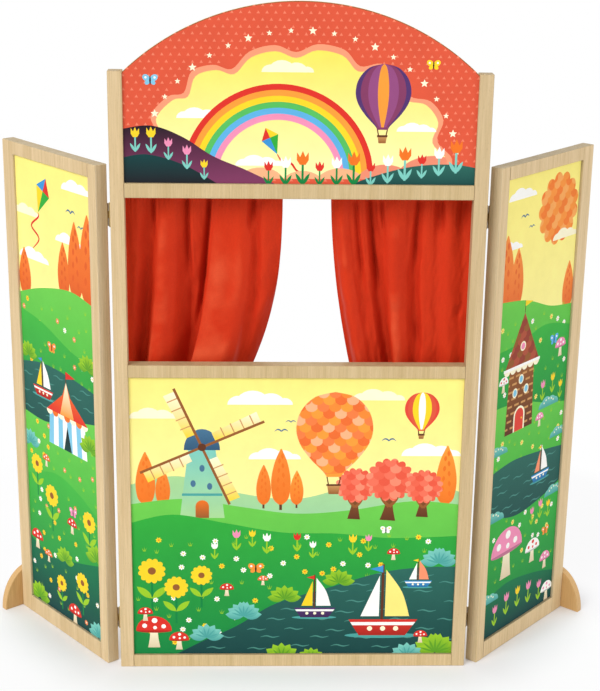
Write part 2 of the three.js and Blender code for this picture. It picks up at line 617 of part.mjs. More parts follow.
// The hanging cloth as one closed sheet: a front and a back grid, joined around their edges.
function cloth(curtain) {
  const columns = (curtain.rodPlaceShares.length - 1) * STEPS_PER_FOLD
  const positions = []
  for (const face of [-1, 1]) {
    for (let row = 0; row <= CURTAIN_ROWS; row += 1) {
      for (let column = 0; column <= columns; column += 1) {
        const [x, y, z] = clothPoint(curtain, column, row / CURTAIN_ROWS)
        positions.push(x, y + face * CLOTH_THICKNESS / 2, z)
      }
    }
  }
  const back = (CURTAIN_ROWS + 1) * (columns + 1)
  const at = (row, column) => row * (columns + 1) + column
  const triangles = []
  const quad = (a, b, c, d) => {
    const corners = curtain.side > 0 ? [d, c, b, a] : [a, b, c, d]
    triangles.push(corners[0], corners[1], corners[2], corners[0], corners[2], corners[3])
  }
  for (let row = 0; row < CURTAIN_ROWS; row += 1) {
    for (let column = 0; column < columns; column += 1) {
      const corners = [at(row, column), at(row + 1, column), at(row + 1, column + 1), at(row, column + 1)]
      quad(...corners)
      quad(...corners.toReversed().map((corner) => corner + back))
    }
  }
  for (let row = 0; row < CURTAIN_ROWS; row += 1) {
    quad(at(row, 0), at(row, 0) + back, at(row + 1, 0) + back, at(row + 1, 0))
    quad(at(row + 1, columns), at(row + 1, columns) + back, at(row, columns) + back, at(row, columns))
  }
  for (let column = 0; column < columns; column += 1) {
    quad(at(0, column + 1), at(0, column + 1) + back, at(0, column) + back, at(0, column))
    const hem = [at(CURTAIN_ROWS, column), at(CURTAIN_ROWS, column + 1)]
    quad(hem[0], hem[0] + back, hem[1] + back, hem[1])
  }
  const geometry = new THREE.BufferGeometry()
  geometry.setAttribute('position', new THREE.BufferAttribute(Float32Array.from(positions), 3))
  geometry.setIndex(triangles)
  return solidOf(geometry)
}

// A curtain: the hanging cloth, and the casing at its top that the rod runs through.
function curtainSolid(curtain) {
  const ends = [curtain.leadingEdge, HALF_OPENING - CURTAIN_END_GAP].map((x) => curtain.side * x)
  ends.sort((a, b) => a - b)
  const bore = ROD_RADIUS + ROD_RUN_GAP
  return cloth(curtain)
    .add(round('x', bore + CASING_THICKNESS, ...ends, ROD_SIDES))
    .subtract(round('x', bore, ends[0] - OVERRUN, ends[1] + OVERRUN, ROD_SIDES))
}

addCentreFrame()
addWing(-1, 'left', LEFT_FOLD_DEG)
addWing(1, 'right', RIGHT_FOLD_DEG)
addRod()
for (const curtain of CURTAINS) {
  place(theater, curtain.name, curtainSolid(curtain), 'curtain', 0, ROD_Y, ROD_Z)
}

export default theater
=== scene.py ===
"""Looks of a folding puppet theater: pale wood frames, printed boards and a pair of red satin curtains.

Lengths are metres. +X is the audience's right, +Y points away from the audience and +Z up.
"""

import json
import math
import random

import bmesh
import bpy
import numpy as np
from mathutils import Matrix, Vector, noise
from mathutils.geometry import delaunay_2d_cdt


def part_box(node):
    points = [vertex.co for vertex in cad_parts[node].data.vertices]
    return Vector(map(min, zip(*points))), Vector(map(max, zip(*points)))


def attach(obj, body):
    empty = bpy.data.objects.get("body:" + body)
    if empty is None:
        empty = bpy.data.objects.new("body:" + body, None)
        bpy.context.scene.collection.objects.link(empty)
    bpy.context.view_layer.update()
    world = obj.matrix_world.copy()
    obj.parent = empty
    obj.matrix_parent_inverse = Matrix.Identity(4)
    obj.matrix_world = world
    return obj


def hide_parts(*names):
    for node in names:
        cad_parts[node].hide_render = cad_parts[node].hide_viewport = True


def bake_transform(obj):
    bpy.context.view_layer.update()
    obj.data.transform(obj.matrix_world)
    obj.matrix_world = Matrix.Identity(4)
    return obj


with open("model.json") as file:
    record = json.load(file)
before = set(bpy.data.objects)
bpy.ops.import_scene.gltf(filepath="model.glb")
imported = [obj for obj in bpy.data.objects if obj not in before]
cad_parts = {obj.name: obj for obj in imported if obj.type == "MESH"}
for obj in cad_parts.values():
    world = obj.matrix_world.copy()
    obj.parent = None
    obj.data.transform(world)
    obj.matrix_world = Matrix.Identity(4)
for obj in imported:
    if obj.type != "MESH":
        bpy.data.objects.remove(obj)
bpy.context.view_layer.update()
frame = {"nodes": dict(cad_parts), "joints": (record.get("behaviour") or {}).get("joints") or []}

MM = 0.001

# The photograph's view: the camera's place, its turns in radians, and its focal length in pixels
CAMERA_PLACE = Vector((-0.0760, -2.3554, 1.3436))
CAMERA_YAW = 0.0340
CAMERA_PITCH = 0.3180
CAMERA_ROLL = 0.0147
FOCAL_PIXELS = 1564.7
PICTURE_HEIGHT = 691
SENSOR = 36.0


def make_camera():
    """Looks along yaw and pitch, then rolls about the line of sight."""
    yaw, pitch = CAMERA_YAW, CAMERA_PITCH
    ahead = Vector((math.sin(yaw) * math.cos(pitch), math.cos(yaw) * math.cos(pitch), -math.sin(pitch)))
    level = Vector((math.cos(yaw), -math.sin(yaw), 0))
    upright = level.cross(ahead)
    right = math.cos(CAMERA_ROLL) * level + math.sin(CAMERA_ROLL) * upright
    up = math.cos(CAMERA_ROLL) * upright - math.sin(CAMERA_ROLL) * level
    data = bpy.data.cameras.new("camera")
    data.sensor_width = SENSOR
    data.lens = FOCAL_PIXELS / PICTURE_HEIGHT * SENSOR
    camera = bpy.data.objects.new("camera", data)
    camera.matrix_world = Matrix.Translation(CAMERA_PLACE) @ Matrix((right, up, -ahead)).transposed().to_4x4()
    bpy.context.scene.collection.objects.link(camera)
    bpy.context.scene.camera = camera


def srgb(red, green, blue):
    """A colour given as 0 to 255 for the screen, as linear light."""
    values = [v / 255 for v in (red, green, blue)]
    return tuple(v / 12.92 if v <= 0.04045 else ((v + 0.055) / 1.055) ** 2.4 for v in values)


def toned(colour, *shares):
    """A linear colour times one share or a share for each channel, with full opacity."""
    shares = shares * 3 if len(shares) == 1 else shares
    return (*(min(1, c * share) for c, share in zip(colour, shares)), 1.0)


def ink(*colour):
    """An opaque linear colour from one for the screen."""
    return (*srgb(*colour), 1.0)


def new_mesh(name, points, faces, smooth=False):
    mesh = bpy.data.meshes.new(name)
    mesh.from_pydata([tuple(p) for p in points], [], faces)
    mesh.update()
    mesh.polygons.foreach_set("use_smooth", [smooth] * len(mesh.polygons))
    return mesh


def add_piece(mesh, body=None, material=None):
    """Makes an object of a mesh, under the mesh's name, and lets it ride on a body."""
    piece = bpy.data.objects.new(mesh.name, mesh)
    bpy.context.scene.collection.objects.link(piece)
    if material:
        mesh.materials.append(material)
    if body:
        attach(piece, body)
    return piece


class Nodes:
    """Short ways to add shader nodes to a tree."""

    def __init__(self, tree):
        self.tree = tree

    def feed(self, target, value):
        """Sets a socket, or links another node's output to it."""
        if isinstance(value, bpy.types.NodeSocket):
            self.tree.links.new(value, target)
        else:
            target.default_value = value

    def node(self, kind, inputs=(), output=0, **settings):
        """Adds a node and gives one of its outputs. Inputs pair a socket's name or number with a value."""
        made = self.tree.nodes.new(f"ShaderNode{kind}")
        for setting, value in settings.items():
            setattr(made, setting, value)
        for socket, value in inputs:
            self.feed(made.inputs[socket], value)
        return made.outputs[output]

    def math(self, operation, a, b=0.0, c=0.0):
        return self.node("Math", [(0, a), (1, b), (2, c)], operation=operation)

    def seen(self):
        """1 where the camera, a reflection or a view through glass sees a place, otherwise 0."""
        ways = ("Camera", "Glossy", "Transmission")
        camera, *others = (self.node("LightPath", (), f"Is {way} Ray") for way in ways)
        return self.math("MAXIMUM", camera, self.math("MAXIMUM", *others))

    def show(self, output, share, lit, plain):
        """Shows lit surfaces, and a share of plain ones over them."""
        mixed = self.node("MixShader", [(0, share), (1, lit), (2, plain)])
        self.feed(self.tree.nodes[output].inputs["Surface"], mixed)


class Finish(Nodes):
    """A material with short ways to add its nodes."""

    def __init__(self, name, **sockets):
        self.material = bpy.data.materials.new(name)
        self.material.use_nodes = True
        super().__init__(self.material.node_tree)
        self.shader = self.tree.nodes["Principled BSDF"]
        for socket, value in sockets.items():
            self.put(socket.replace("_", " "), value)
        coordinates = self.tree.nodes.new("ShaderNodeTexCoord")
        self.place, self.uv, self.normal = (coordinates.outputs[kind] for kind in ("Object", "UV", "Normal"))

    def put(self, socket, value):
        self.feed(self.shader.inputs[socket], value)

    def stretched(self, vector, scale, shift=(0, 0, 0)):
        return self.node("Mapping", [("Vector", vector), ("Scale", scale), ("Location", shift)])

    def noise(self, vector, scale=1.0, detail=2.0, roughness=0.5, distortion=0.0):
        return self.node("TexNoise", [("Vector", vector), ("Scale", scale), ("Detail", detail),
                                      ("Roughness", roughness), ("Distortion", distortion)])

    def grain(self, scale, detail, roughness, place=None, distortion=0.0):
        """Noise stretched by a scale for each axis."""
        return self.noise(self.stretched(place or self.place, scale), 1.0, detail, roughness, distortion)

    def sum(self, a, share_a, b, share_b):
        return self.math("MULTIPLY_ADD", a, share_a, self.math("MULTIPLY", b, share_b))

    def vector(self, operation, a, b=(0, 0, 0), output="Value"):
        return self.node("VectorMath", [(0, a), (1, b)], output, operation=operation)

    def spread(self, value, low, high, to_low=0.0, to_high=1.0, **settings):
        """Maps a value from low..high to to_low..to_high, and holds it there."""
        return self.node("MapRange", [("Value", value), ("From Min", low), ("From Max", high),
                                      ("To Min", to_low), ("To Max", to_high)], **settings)

    def to_line(self, place, start, end):
        """How far a place lies from the line between two points."""
        span = end - start
        from_start = self.vector("SUBTRACT", place, start, "Vector")
        share = self.spread(self.vector("DOT_PRODUCT", from_start, span), 0.0, span.length_squared)
        nearest = self.node("VectorMath", [(0, span), ("Scale", share)], operation="SCALE")
        return self.vector("DISTANCE", from_start, nearest)

    def mix(self, factor, a, b, blend="MIX"):
        return self.node("Mix", [(0, factor), (6, a), (7, b)], 2, data_type="RGBA", blend_type=blend)

    def shaded(self, colour, share):
        """A colour with all its channels times a share."""
        return self.mix(1.0, colour, self.node("CombineColor", [(i, share) for i in range(3)]), "MULTIPLY")

    def bump(self, height, distance, strength=1.0):
        made = self.node("Bump", [("Height", height), ("Distance", distance), ("Strength", strength)])
        self.put("Normal", made)


# Tones of the wood on its broad faces, with how far its grain is shifted, and the shares of painted shade and
# painted light on its other faces
WOODS = {
    "post_left": ((222, 196, 152), 0.0),
    "post_right": ((208, 183, 140), 0.7),
    "rail": ((209, 184, 138), 1.9),
    "bottom_rail": ((216, 190, 143), 2.5),
    "wing_left": ((222, 195, 150), 3.1),
    "wing_right": ((228, 201, 156), 4.3),
    "rod": ((216, 190, 140), 5.2),
}
FOOT_FACE = (212, 170, 112)
BOARD_FACE = (226, 204, 160)
# Painted shade on the side faces of the bars, and on their top and bottom faces
SIDE_PAINTED_SHADE = (0.88, 0.88, 0.88)
# Painted light on the left wing's side faces, and painted shade on the right wing's
SIDE_PAINTED_LIGHT_LEFT = (0.98, 1.05, 1.18)
SIDE_PAINTED_SHADE_RIGHT = (0.78, 0.82, 0.88)
END_PAINTED_SHADE = (0.71, 0.71, 0.70)
# A lighter painted shade on the rails' top and bottom faces
LEDGE_PAINTED_SHADE = (0.90, 0.94, 0.96)
PLY_LAYERS = 5

# Stitches of the curtains
STITCH_PITCH = 3.2 * MM
STITCH_SHARE = 0.62
STITCH_HALF_WIDTH = 0.45 * MM
STITCH_INSET = 1.8 * MM

# Mesh attributes that the materials read
INK = "Ink"
FOLD = "Fold"


def wood(name, front=(0, -1, 0), side_painted_shading=SIDE_PAINTED_SHADE, end_painted_shading=END_PAINTED_SHADE):
    """Pale close-grained wood: upright streaks, broad bands and flecks, with painted shade on all but the
    broad faces by the way they face (painted light on the left wing's sides).
    """
    finish = Finish(f"wood_{name}", Specular_IOR_Level=0.25)
    tone, shift = WOODS[name]
    base = srgb(*tone)
    place = finish.stretched(finish.place, (1, 1, 1), (shift, shift / 2, shift))
    streaks = finish.grain((620, 620, 11), 4.0, 0.62, place)
    threads = finish.grain((1500, 1500, 34), 2.0, 0.5, place)
    bands = finish.grain((75, 75, 2.4), 2.0, 0.45, place)
    flecks = finish.grain((1300, 1300, 190), 1.0, 0.4, place)
    figure = finish.spread(finish.sum(streaks, 0.55, bands, 0.45), 0.34, 0.66)
    colour = finish.mix(figure, toned(base, 0.83, 0.79, 0.70), toned(base, 1.07, 1.08, 1.12))
    colour = finish.shaded(colour, finish.spread(threads, 0.35, 0.65, 0.95, 1.03))
    fleck = finish.spread(flecks, 0.66, 0.72, 0.0, 0.28)
    colour = finish.mix(fleck, colour, toned(base, 0.55))
    # Painted shade: faces that don't face the front, and faces that face up or down, get a share of the colour
    # (painted light on the left wing's sides)
    for axis, face_painted_shading, low, high in ((front, side_painted_shading, 1.0, 0.0), ((0, 0, 1), end_painted_shading, 0.0, 1.0)):
        facing = finish.math("ABSOLUTE", finish.vector("DOT_PRODUCT", finish.normal, axis))
        share = finish.spread(facing, 0.6, 0.9, low, high)
        colour = finish.mix(share, colour, (*face_painted_shading, 1.0), "MULTIPLY")
    finish.put("Base Color", colour)
    finish.put("Roughness", finish.spread(streaks, 0.3, 0.7, 0.62, 0.46))
    finish.bump(finish.sum(threads, 0.5, fleck, -1.2), 0.18 * MM, 0.5)
    return finish.material


def plywood(name, tone):
    """Sanded plywood: a plain golden face, and on the cut edge its layers, along the map's first axis."""
    finish = Finish(name, Coat_Weight=0.1, Coat_Roughness=0.4)
    base, whole = srgb(*tone), ink(*tone)
    layers = finish.spread(finish.node("TexWave", [
        ("Vector", finish.stretched(finish.uv, (1, 0, 0))), ("Scale", PLY_LAYERS / 2 / math.tau * 20),
    ], 1, wave_type="BANDS", bands_direction="X"), 0.35, 0.65)
    grain = finish.grain((500, 500, 24), 3.0, 0.6)
    dark = toned(base, 0.86, 0.80, 0.68)
    face = finish.mix(finish.spread(grain, 0.3, 0.7), dark, whole)
    edge = finish.mix(layers, finish.mix(grain, whole, toned(base, 1.16)), finish.mix(grain, dark, whole))
    on_edge = finish.spread(finish.node("SeparateXYZ", [(0, finish.uv)], 1), 0.4, 0.6)
    finish.put("Base Color", finish.mix(on_edge, face, edge))
    finish.put("Roughness", finish.spread(grain, 0.3, 0.7, 0.66, 0.52))
    finish.bump(grain, 0.2 * MM, 0.4)
    return finish.material


def board(name):
    """The plain back of a printed board: pale birch face with a soft broad figure."""
    finish = Finish(name, Coat_Weight=0.08, Coat_Roughness=0.4)
    dark = toned(srgb(*BOARD_FACE), 0.88, 0.84, 0.76)
    figure = finish.spread(finish.grain((34, 34, 2.2), 3.0, 0.5, distortion=1.4), 0.35, 0.65)
    grain = finish.grain((900, 900, 30), 2.0, 0.5)
    colour = finish.mix(figure, dark, ink(*BOARD_FACE))
    finish.put("Base Color", finish.mix(finish.spread(grain, 0.5, 0.8, 0, 0.35), colour, dark))
    finish.put("Roughness", finish.spread(grain, 0.3, 0.7, 0.6, 0.5))
    finish.bump(grain, 0.12 * MM, 0.4)
    return finish.material


def metal(name, tone, roughness, scratch):
    """Drawn or plated metal with fine scratches and slightly uneven polish."""
    finish = Finish(name, Metallic=1.0)
    cloud = finish.noise(finish.place, 240.0, 3.0, 0.6)
    finish.put("Base Color", finish.mix(cloud, toned(srgb(*tone), 0.8), ink(*tone)))
    finish.put("Roughness", finish.spread(cloud, 0.3, 0.7, roughness - 0.08, roughness + 0.1))
    finish.bump(finish.grain((300, 300, 6000), 2.0, 0.5), 0.04 * MM, scratch)
    return finish.material


def printed(name):
    """Ink on board: the ink's own colour, a faint airbrushed unevenness, and a satin varnish."""
    finish = Finish(name, Specular_IOR_Level=0.12)
    colour = finish.node("Attribute", (), "Color", attribute_name=INK, attribute_type="GEOMETRY")
    cloud = finish.noise(finish.place, 26.0, 3.0, 0.6)
    speckle = finish.noise(finish.place, 900.0, 2.0, 0.6)
    tint = finish.spread(finish.sum(cloud, 0.6, speckle, 0.4), 0.3, 0.7, 0.94, 1.05)
    finish.put("Base Color", finish.shaded(colour, tint))
    finish.put("Roughness", finish.spread(speckle, 0.3, 0.7, 0.62, 0.52))
    finish.bump(speckle, 0.06 * MM, 0.35)
    return finish.material


def satin(name, stitch_rows):
    """Red satin: fine warp threads, a soft sheen, uneven dye, painted shade in the folds' valleys, painted
    highlights on their crests, and stitches at some lengths of the cloth.
    """
    finish = Finish(name, Anisotropic=0.3, Specular_IOR_Level=0.2, Specular_Tint=ink(255, 128, 84))
    across, along = (finish.node("SeparateXYZ", [(0, finish.uv)], axis) for axis in ("X", "Y"))
    threads = finish.grain((2600, 160, 1), 2.0, 0.5, finish.uv)
    slubs = finish.grain((90, 900, 1), 3.0, 0.6, finish.uv)
    weave = finish.sum(threads, 0.6, slubs, 0.4)
    cloud = finish.noise(finish.uv, 9.0, 3.0, 0.55)
    fold = finish.node("Attribute", (), "Fac", attribute_name=FOLD, attribute_type="GEOMETRY")
    # A painted highlight in patches on the crests of the folds
    painted_highlight = finish.math("MULTIPLY", finish.spread(fold, 0.46, 0.95), finish.spread(cloud, 0.42, 0.62))
    colour = finish.mix(finish.spread(cloud, 0.3, 0.7, 0.25, 0.75), ink(205, 51, 27), ink(219, 61, 30))
    # Painted shade in the folds' valleys, where the cloth lies back
    colour = finish.mix(finish.spread(fold, 0.1, -1.1, 0.0, 0.45), colour, ink(180, 50, 28))
    colour = finish.mix(finish.math("MULTIPLY", painted_highlight, 0.7), colour, ink(238, 104, 66))
    colour = finish.mix(finish.spread(weave, 0.35, 0.65, 0.22, 0.0), colour, ink(150, 28, 16))
    pitches = finish.math("FRACT", finish.math("MULTIPLY", across, 1 / STITCH_PITCH))
    dash = finish.math("LESS_THAN", pitches, STITCH_SHARE)
    stitches = 0.0
    for length in stitch_rows:
        off = finish.math("ABSOLUTE", finish.math("SUBTRACT", along, length))
        row = finish.math("MULTIPLY", finish.math("LESS_THAN", off, STITCH_HALF_WIDTH), dash)
        stitches = finish.math("MAXIMUM", stitches, row)
    finish.put("Base Color", finish.mix(stitches, colour, ink(238, 92, 62)))
    finish.put("Roughness", finish.spread(weave, 0.3, 0.7, 0.46, 0.36))
    finish.put("Specular IOR Level", finish.spread(fold, -0.9, -0.1, 0.02, 0.3))
    finish.bump(finish.sum(weave, 0.35, stitches, 1.6), 0.22 * MM, 0.6)
    return finish.material


# Places, from the frame
SIDES = {"left": -1, "right": 1}
POST_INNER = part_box("post_right")[0].x
ROD_LOW, ROD_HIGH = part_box("curtain_rod")
ROD_Y = (ROD_LOW.y + ROD_HIGH.y) / 2
ROD_Z = (ROD_LOW.z + ROD_HIGH.z) / 2
ROD_RADIUS = (ROD_HIGH.z - ROD_LOW.z) / 2
FRAME_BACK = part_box("stage_rail")[1].y
JOINTS = {joint["name"]: joint for joint in frame["joints"]}


class WingPlace:
    """Where a wing stands, and the way from its flat pose, in which it lies along X, to its rest pose."""

    def __init__(self, label):
        joint = JOINTS[f"wing_{label}_hinge"]
        pin = Vector(joint["pos_m"])
        turn = Matrix.Rotation(SIDES[label] * math.radians(-joint["range_deg"][0]), 4, "Z")
        self.to_rest = Matrix.Translation(pin) @ turn @ Matrix.Translation(-pin)
        self.to_flat = self.to_rest.inverted()
        self.front = turn.to_3x3() @ Vector((0, -1, 0))

    def flat_box(self, node):
        """The lowest and highest corner of a CAD node of the wing when it lies flat."""
        points = [self.to_flat @ v.co for v in frame["nodes"][node].data.vertices]
        return tuple(Vector([pick(p[i] for p in points) for i in range(3)]) for pick in (min, max))


WINGS = {label: WingPlace(label) for label in SIDES}

# Curtains: the rod's and the cloth's own sizes
CURTAIN_DROP = 318 * MM
CLOTH = 0.7 * MM
END_GAP = 1.5 * MM
BEHIND_POST = 5 * MM
FLARE_START, FLARE_LENGTH = 9 * MM, 9 * MM
CASING_RADIUS = ROD_RADIUS + 1.7 * MM
CASING_LEAVE = math.radians(-52)
CASING_SEAM_DROP = 12 * MM
CASING_TAIL = 3 * MM
LAYER_GAP = 1.1 * MM
HEM_TURN = 14 * MM

# How far the folds reach, how soft they end at the frame's back, and the gathers of the casing
FOLD_DEPTH_AT_ROD = 5.2 * MM
FOLD_DEPTH_AT_HEM = 12.8 * MM
BACK_FOLD_SHARE = 1.9
FRONT_FREE = 9 * MM
FRONT_LIMIT = ROD_Y - FRAME_BACK - 1.6 * MM
RAMP_BEFORE, RAMP_AFTER = 8 * MM, 16 * MM
LEAN_SHARE = 0.5
GATHER_PITCH = 6.5 * MM
GATHER_DEPTH = 0.75 * MM
GATHER_FADE = 22 * MM

# Dents of the cloth, and the lip beside a narrow crease
WRINKLE_SHARE = 0.16
LIP_SHARE, LIP_AWAY, NARROW = 0.45, 1.9, 0.02

# Rows and columns of the cloth's mesh
STEPS_PER_FOLD = 18
TAIL_ROWS, LOOP_ROWS, DROP_ROWS, HEM_ROWS = 3, 27, 130, 7

# Each fold's places and depths repeat the solid's, as shares of the drawn width and of the fold's depth.
# Creases and bulges lie over them. A row of relief_shares has the place at its top and foot, the width there,
# the drop at which it starts and ends, how softly it does, and its depth. calm_shares are the place up to
# which the folds are shallower, and by how much.
CURTAINS = {
    "left": {
        "seed": 3.7,
        "leading_edge": 25 * MM,
        "sweep": 53 * MM,
        "sweep_power": 2.8,
        "rod_place_shares": [0, 0.085, 0.16, 0.27, 0.385, 0.44, 0.535, 0.61, 0.72, 0.815, 0.88, 1],
        "hem_place_shares": [0, 0.04, 0.12, 0.2, 0.43, 0.45, 0.475, 0.52, 0.74, 0.88, 0.93, 1],
        "rod_depth_shares": [-0.2, 0.3, -0.6, 0.7, -0.8, 0.1, -0.5, 0.7, 0.5, -0.7, 0.5, -0.2],
        "hem_depth_shares": [-0.6, -0.5, -0.9, 1, -0.9, -0.95, -1, 0.8, 1, -0.6, -0.7, -0.9],
        "relief_shares": [
            (0.385, 0.4, 0.012, 0.02, 0, 0.5, 0.1, -0.55),
            (0.54, 0.47, 0.013, 0.02, 0, 0.78, 0.1, -0.7),
            (0.815, 0.79, 0.012, 0.02, 0, 0.26, 0.08, -0.6),
            (0.18, 0.19, 0.012, 0.016, 0, 0.3, 0.08, -0.6),
            (0.62, 0.6, 0.012, 0.02, 0, 0.18, 0.06, -0.35),
            (0.265, 0.27, 0.045, 0.09, 0.15, 1.2, 0.035, 0.55),
            (0.605, 0.64, 0.04, 0.11, 0.19, 1.2, 0.05, 0.45),
            (0.9, 0.88, 0.04, 0.03, 0.08, 0.34, 0.05, 0.45),
            (0.77, 0.78, 0.055, 0.045, 0.22, 0.66, 0.06, 0.4),
            (0.44, 0.44, 0.03, 0.06, 0.45, 1.2, 0.2, -0.6),
            (1.03, 1, 0.03, 0.15, 0.45, 1.2, 0.2, -1),
        ],
        "calm_shares": (0, 0),
    },
    "right": {
        "seed": 11.2,
        "leading_edge": 50 * MM,
        "sweep": 41 * MM,
        "sweep_power": 1.8,
        "rod_place_shares": [0, 0.07, 0.17, 0.235, 0.3, 0.39, 0.55, 0.74, 0.8, 0.86, 0.935, 1],
        "hem_place_shares": [0, 0.03, 0.11, 0.25, 0.36, 0.46, 0.57, 0.68, 0.74, 0.79, 0.89, 1],
        "rod_depth_shares": [-0.2, -0.6, 0.5, -0.4, 0.4, -0.8, 0.8, -0.9, 0, -0.6, 0.5, -0.3],
        "hem_depth_shares": [-0.3, -0.2, 0.6, -0.7, 0.4, -0.4, 1, -1, -0.5, -0.3, 0.7, -0.1],
        "relief_shares": [
            (0.745, 0.7, 0.012, 0.018, 0, 0.58, 0.1, -0.6),
            (0.83, 0.8, 0.014, 0.02, 0.06, 0.55, 0.1, -0.45),
            (0.66, 0.62, 0.012, 0.018, 0, 0.3, 0.08, -0.55),
            (0.39, 0.43, 0.012, 0.018, 0, 0.48, 0.1, -0.55),
            (0.24, 0.23, 0.03, 0.04, 0, 0.26, 0.08, -0.6),
            (0.07, 0.08, 0.03, 0.04, 0, 0.28, 0.08, -0.6),
            (0.545, 0.54, 0.05, 0.06, 0.19, 0.64, 0.04, 0.6),
            (0.92, 0.91, 0.035, 0.04, 0.17, 0.44, 0.04, 0.5),
            (0.16, 0.15, 0.06, 0.08, 0.24, 1.2, 0.06, 0.35),
            (0.4, 0.38, 0.05, 0.06, 0.66, 0.95, 0.1, -0.45),
            (0.08, 0.09, 0.03, 0.03, 0.6, 0.7, 0.03, -0.3),
            (1, 1, 0.03, 0.07, 0.3, 1.2, 0.2, -0.45),
        ],
        "calm_shares": (0.37, 0.72),
    },
}


def smooth_step(value, low, high):
    t = np.clip((value - low) / (high - low), 0, 1)
    return t * t * (3 - 2 * t)


def cloth_profile():
    """The rows of a curtain from the casing's raw edge behind the rod, over it and down to the turned hem.

    A row is its drop below the rod, its offset in Y from the hanging cloth, and 1 if it takes up the folds.
    """
    tail = np.linspace(CASING_SEAM_DROP + CASING_TAIL, CASING_SEAM_DROP, TAIL_ROWS)
    rows = [(drop, LAYER_GAP, 1) for drop in tail]
    for angle in np.linspace(CASING_LEAVE, math.pi - CASING_LEAVE, LOOP_ROWS):
        rows.append((-CASING_RADIUS * math.sin(angle), CASING_RADIUS * math.cos(angle), 0))
    rows += [(drop, 0, 1) for drop in np.linspace(CASING_SEAM_DROP, CURTAIN_DROP, DROP_ROWS)]
    rows += [(drop, LAYER_GAP, 1) for drop in np.linspace(CURTAIN_DROP, CURTAIN_DROP - HEM_TURN, HEM_ROWS)]
    return np.array(rows)


def wrinkle(x, z, seed):
    """Soft slanting dents of the cloth, in about -1..1, by place and drop shares."""
    broad = noise.noise(Vector((x * 13 + z * 4, z * 7, seed)))
    return broad + 0.4 * noise.noise(Vector((x * 34 - z * 9, z * 16, seed + 7)))


def fold_depth(curtain, share):
    """Where each column lies between the post and the leading edge, and how far it folds, by drop shares."""
    folds = len(curtain["rod_place_shares"]) - 1
    column = np.arange(folds * STEPS_PER_FOLD + 1) / STEPS_PER_FOLD
    index = np.minimum(column.astype(int), folds - 1)
    part = column - index
    rounded = (1 - np.cos(np.pi * part)) / 2

    def between(kind, i):
        rod, hem = (np.array(curtain[f"{end}_{kind}_shares"]) for end in ("rod", "hem"))
        return rod[i] * (1 - share) + hem[i] * share

    place = between("place", index) * (1 - part) + between("place", index + 1) * part
    depth = between("depth", index) * (1 - rounded) + between("depth", index + 1) * rounded
    calm_place, calm = curtain["calm_shares"]
    calmed = smooth_step(share, 0.1, 0.4) * (1 - smooth_step(place, calm_place - 0.06, calm_place + 0.02))
    depth = depth * (1 - calm * calmed)
    for top, low, wide_top, wide_low, start, end, soft, lift in curtain["relief_shares"]:
        along = np.clip((share - start) / (end - start), 0, 1)
        centre, wide = top + (low - top) * along, wide_top + (wide_low - wide_top) * along
        shown = smooth_step(share, start - soft, start + soft) * (1 - smooth_step(share, end - soft * 2, end))
        away = (place - centre) / wide
        lip = LIP_SHARE * np.exp(-(away - LIP_AWAY) ** 2) if lift < 0 and wide_top < NARROW else 0
        depth = depth + lift * shown * (np.exp(-away ** 2) - lip)
    small = [[wrinkle(p, s, curtain["seed"]) for p in line] for line, s in zip(place, share[:, 0])]
    return place, depth + np.array(small) * WRINKLE_SHARE


def curtain_points(label):
    """The middle of a curtain's cloth: an array of rows by columns by three, in the row frame."""
    curtain, side = CURTAINS[label], SIDES[label]
    rows = cloth_profile()
    drop, offset, folded = (rows[:, i, None] for i in range(3))
    share = np.clip(drop / CURTAIN_DROP, 0, 1)
    place, depth = fold_depth(curtain, share)

    flare = smooth_step(drop, FLARE_START, FLARE_START + FLARE_LENGTH)
    outer = (POST_INNER - END_GAP) + (BEHIND_POST + END_GAP) * flare
    leading = curtain["leading_edge"] + curtain["sweep"] * share ** curtain["sweep_power"]
    reach = FOLD_DEPTH_AT_ROD + (FOLD_DEPTH_AT_HEM - FOLD_DEPTH_AT_ROD) * share
    ramp = smooth_step(drop, CASING_SEAM_DROP - RAMP_BEFORE, CASING_SEAM_DROP + RAMP_AFTER) * folded
    inner = np.sin(np.pi * np.clip(place, 0, 1)) ** 0.5
    x = side * (outer + (leading - outer) * place) - LEAN_SHARE * reach * depth * ramp * inner

    phase = 2 * np.pi * (place * (outer - leading) / GATHER_PITCH)
    gather = np.sin(phase + 1.3 * np.sin(phase * 0.31 + curtain["seed"]))
    fade = np.where(drop > CASING_SEAM_DROP, np.exp(-(drop - CASING_SEAM_DROP) / GATHER_FADE), 1.0)
    ripple = GATHER_DEPTH * gather * fade
    around = np.where(folded > 0, 0.0, 1.0)
    length = np.maximum(np.hypot(drop, offset), 1e-6)

    forward = np.where(depth < 0, depth * reach * BACK_FOLD_SHARE, depth * reach) * ramp
    soft = FRONT_LIMIT - FRONT_FREE
    held = FRONT_FREE + soft * np.tanh((forward - FRONT_FREE) / soft)
    forward = np.where(forward > FRONT_FREE, held, forward)
    y = ROD_Y + offset - forward - ripple * (1 - around) + ripple * around * offset / length
    z = ROD_Z - drop - ripple * around * drop / length
    return np.stack([x, y, z], axis=-1)


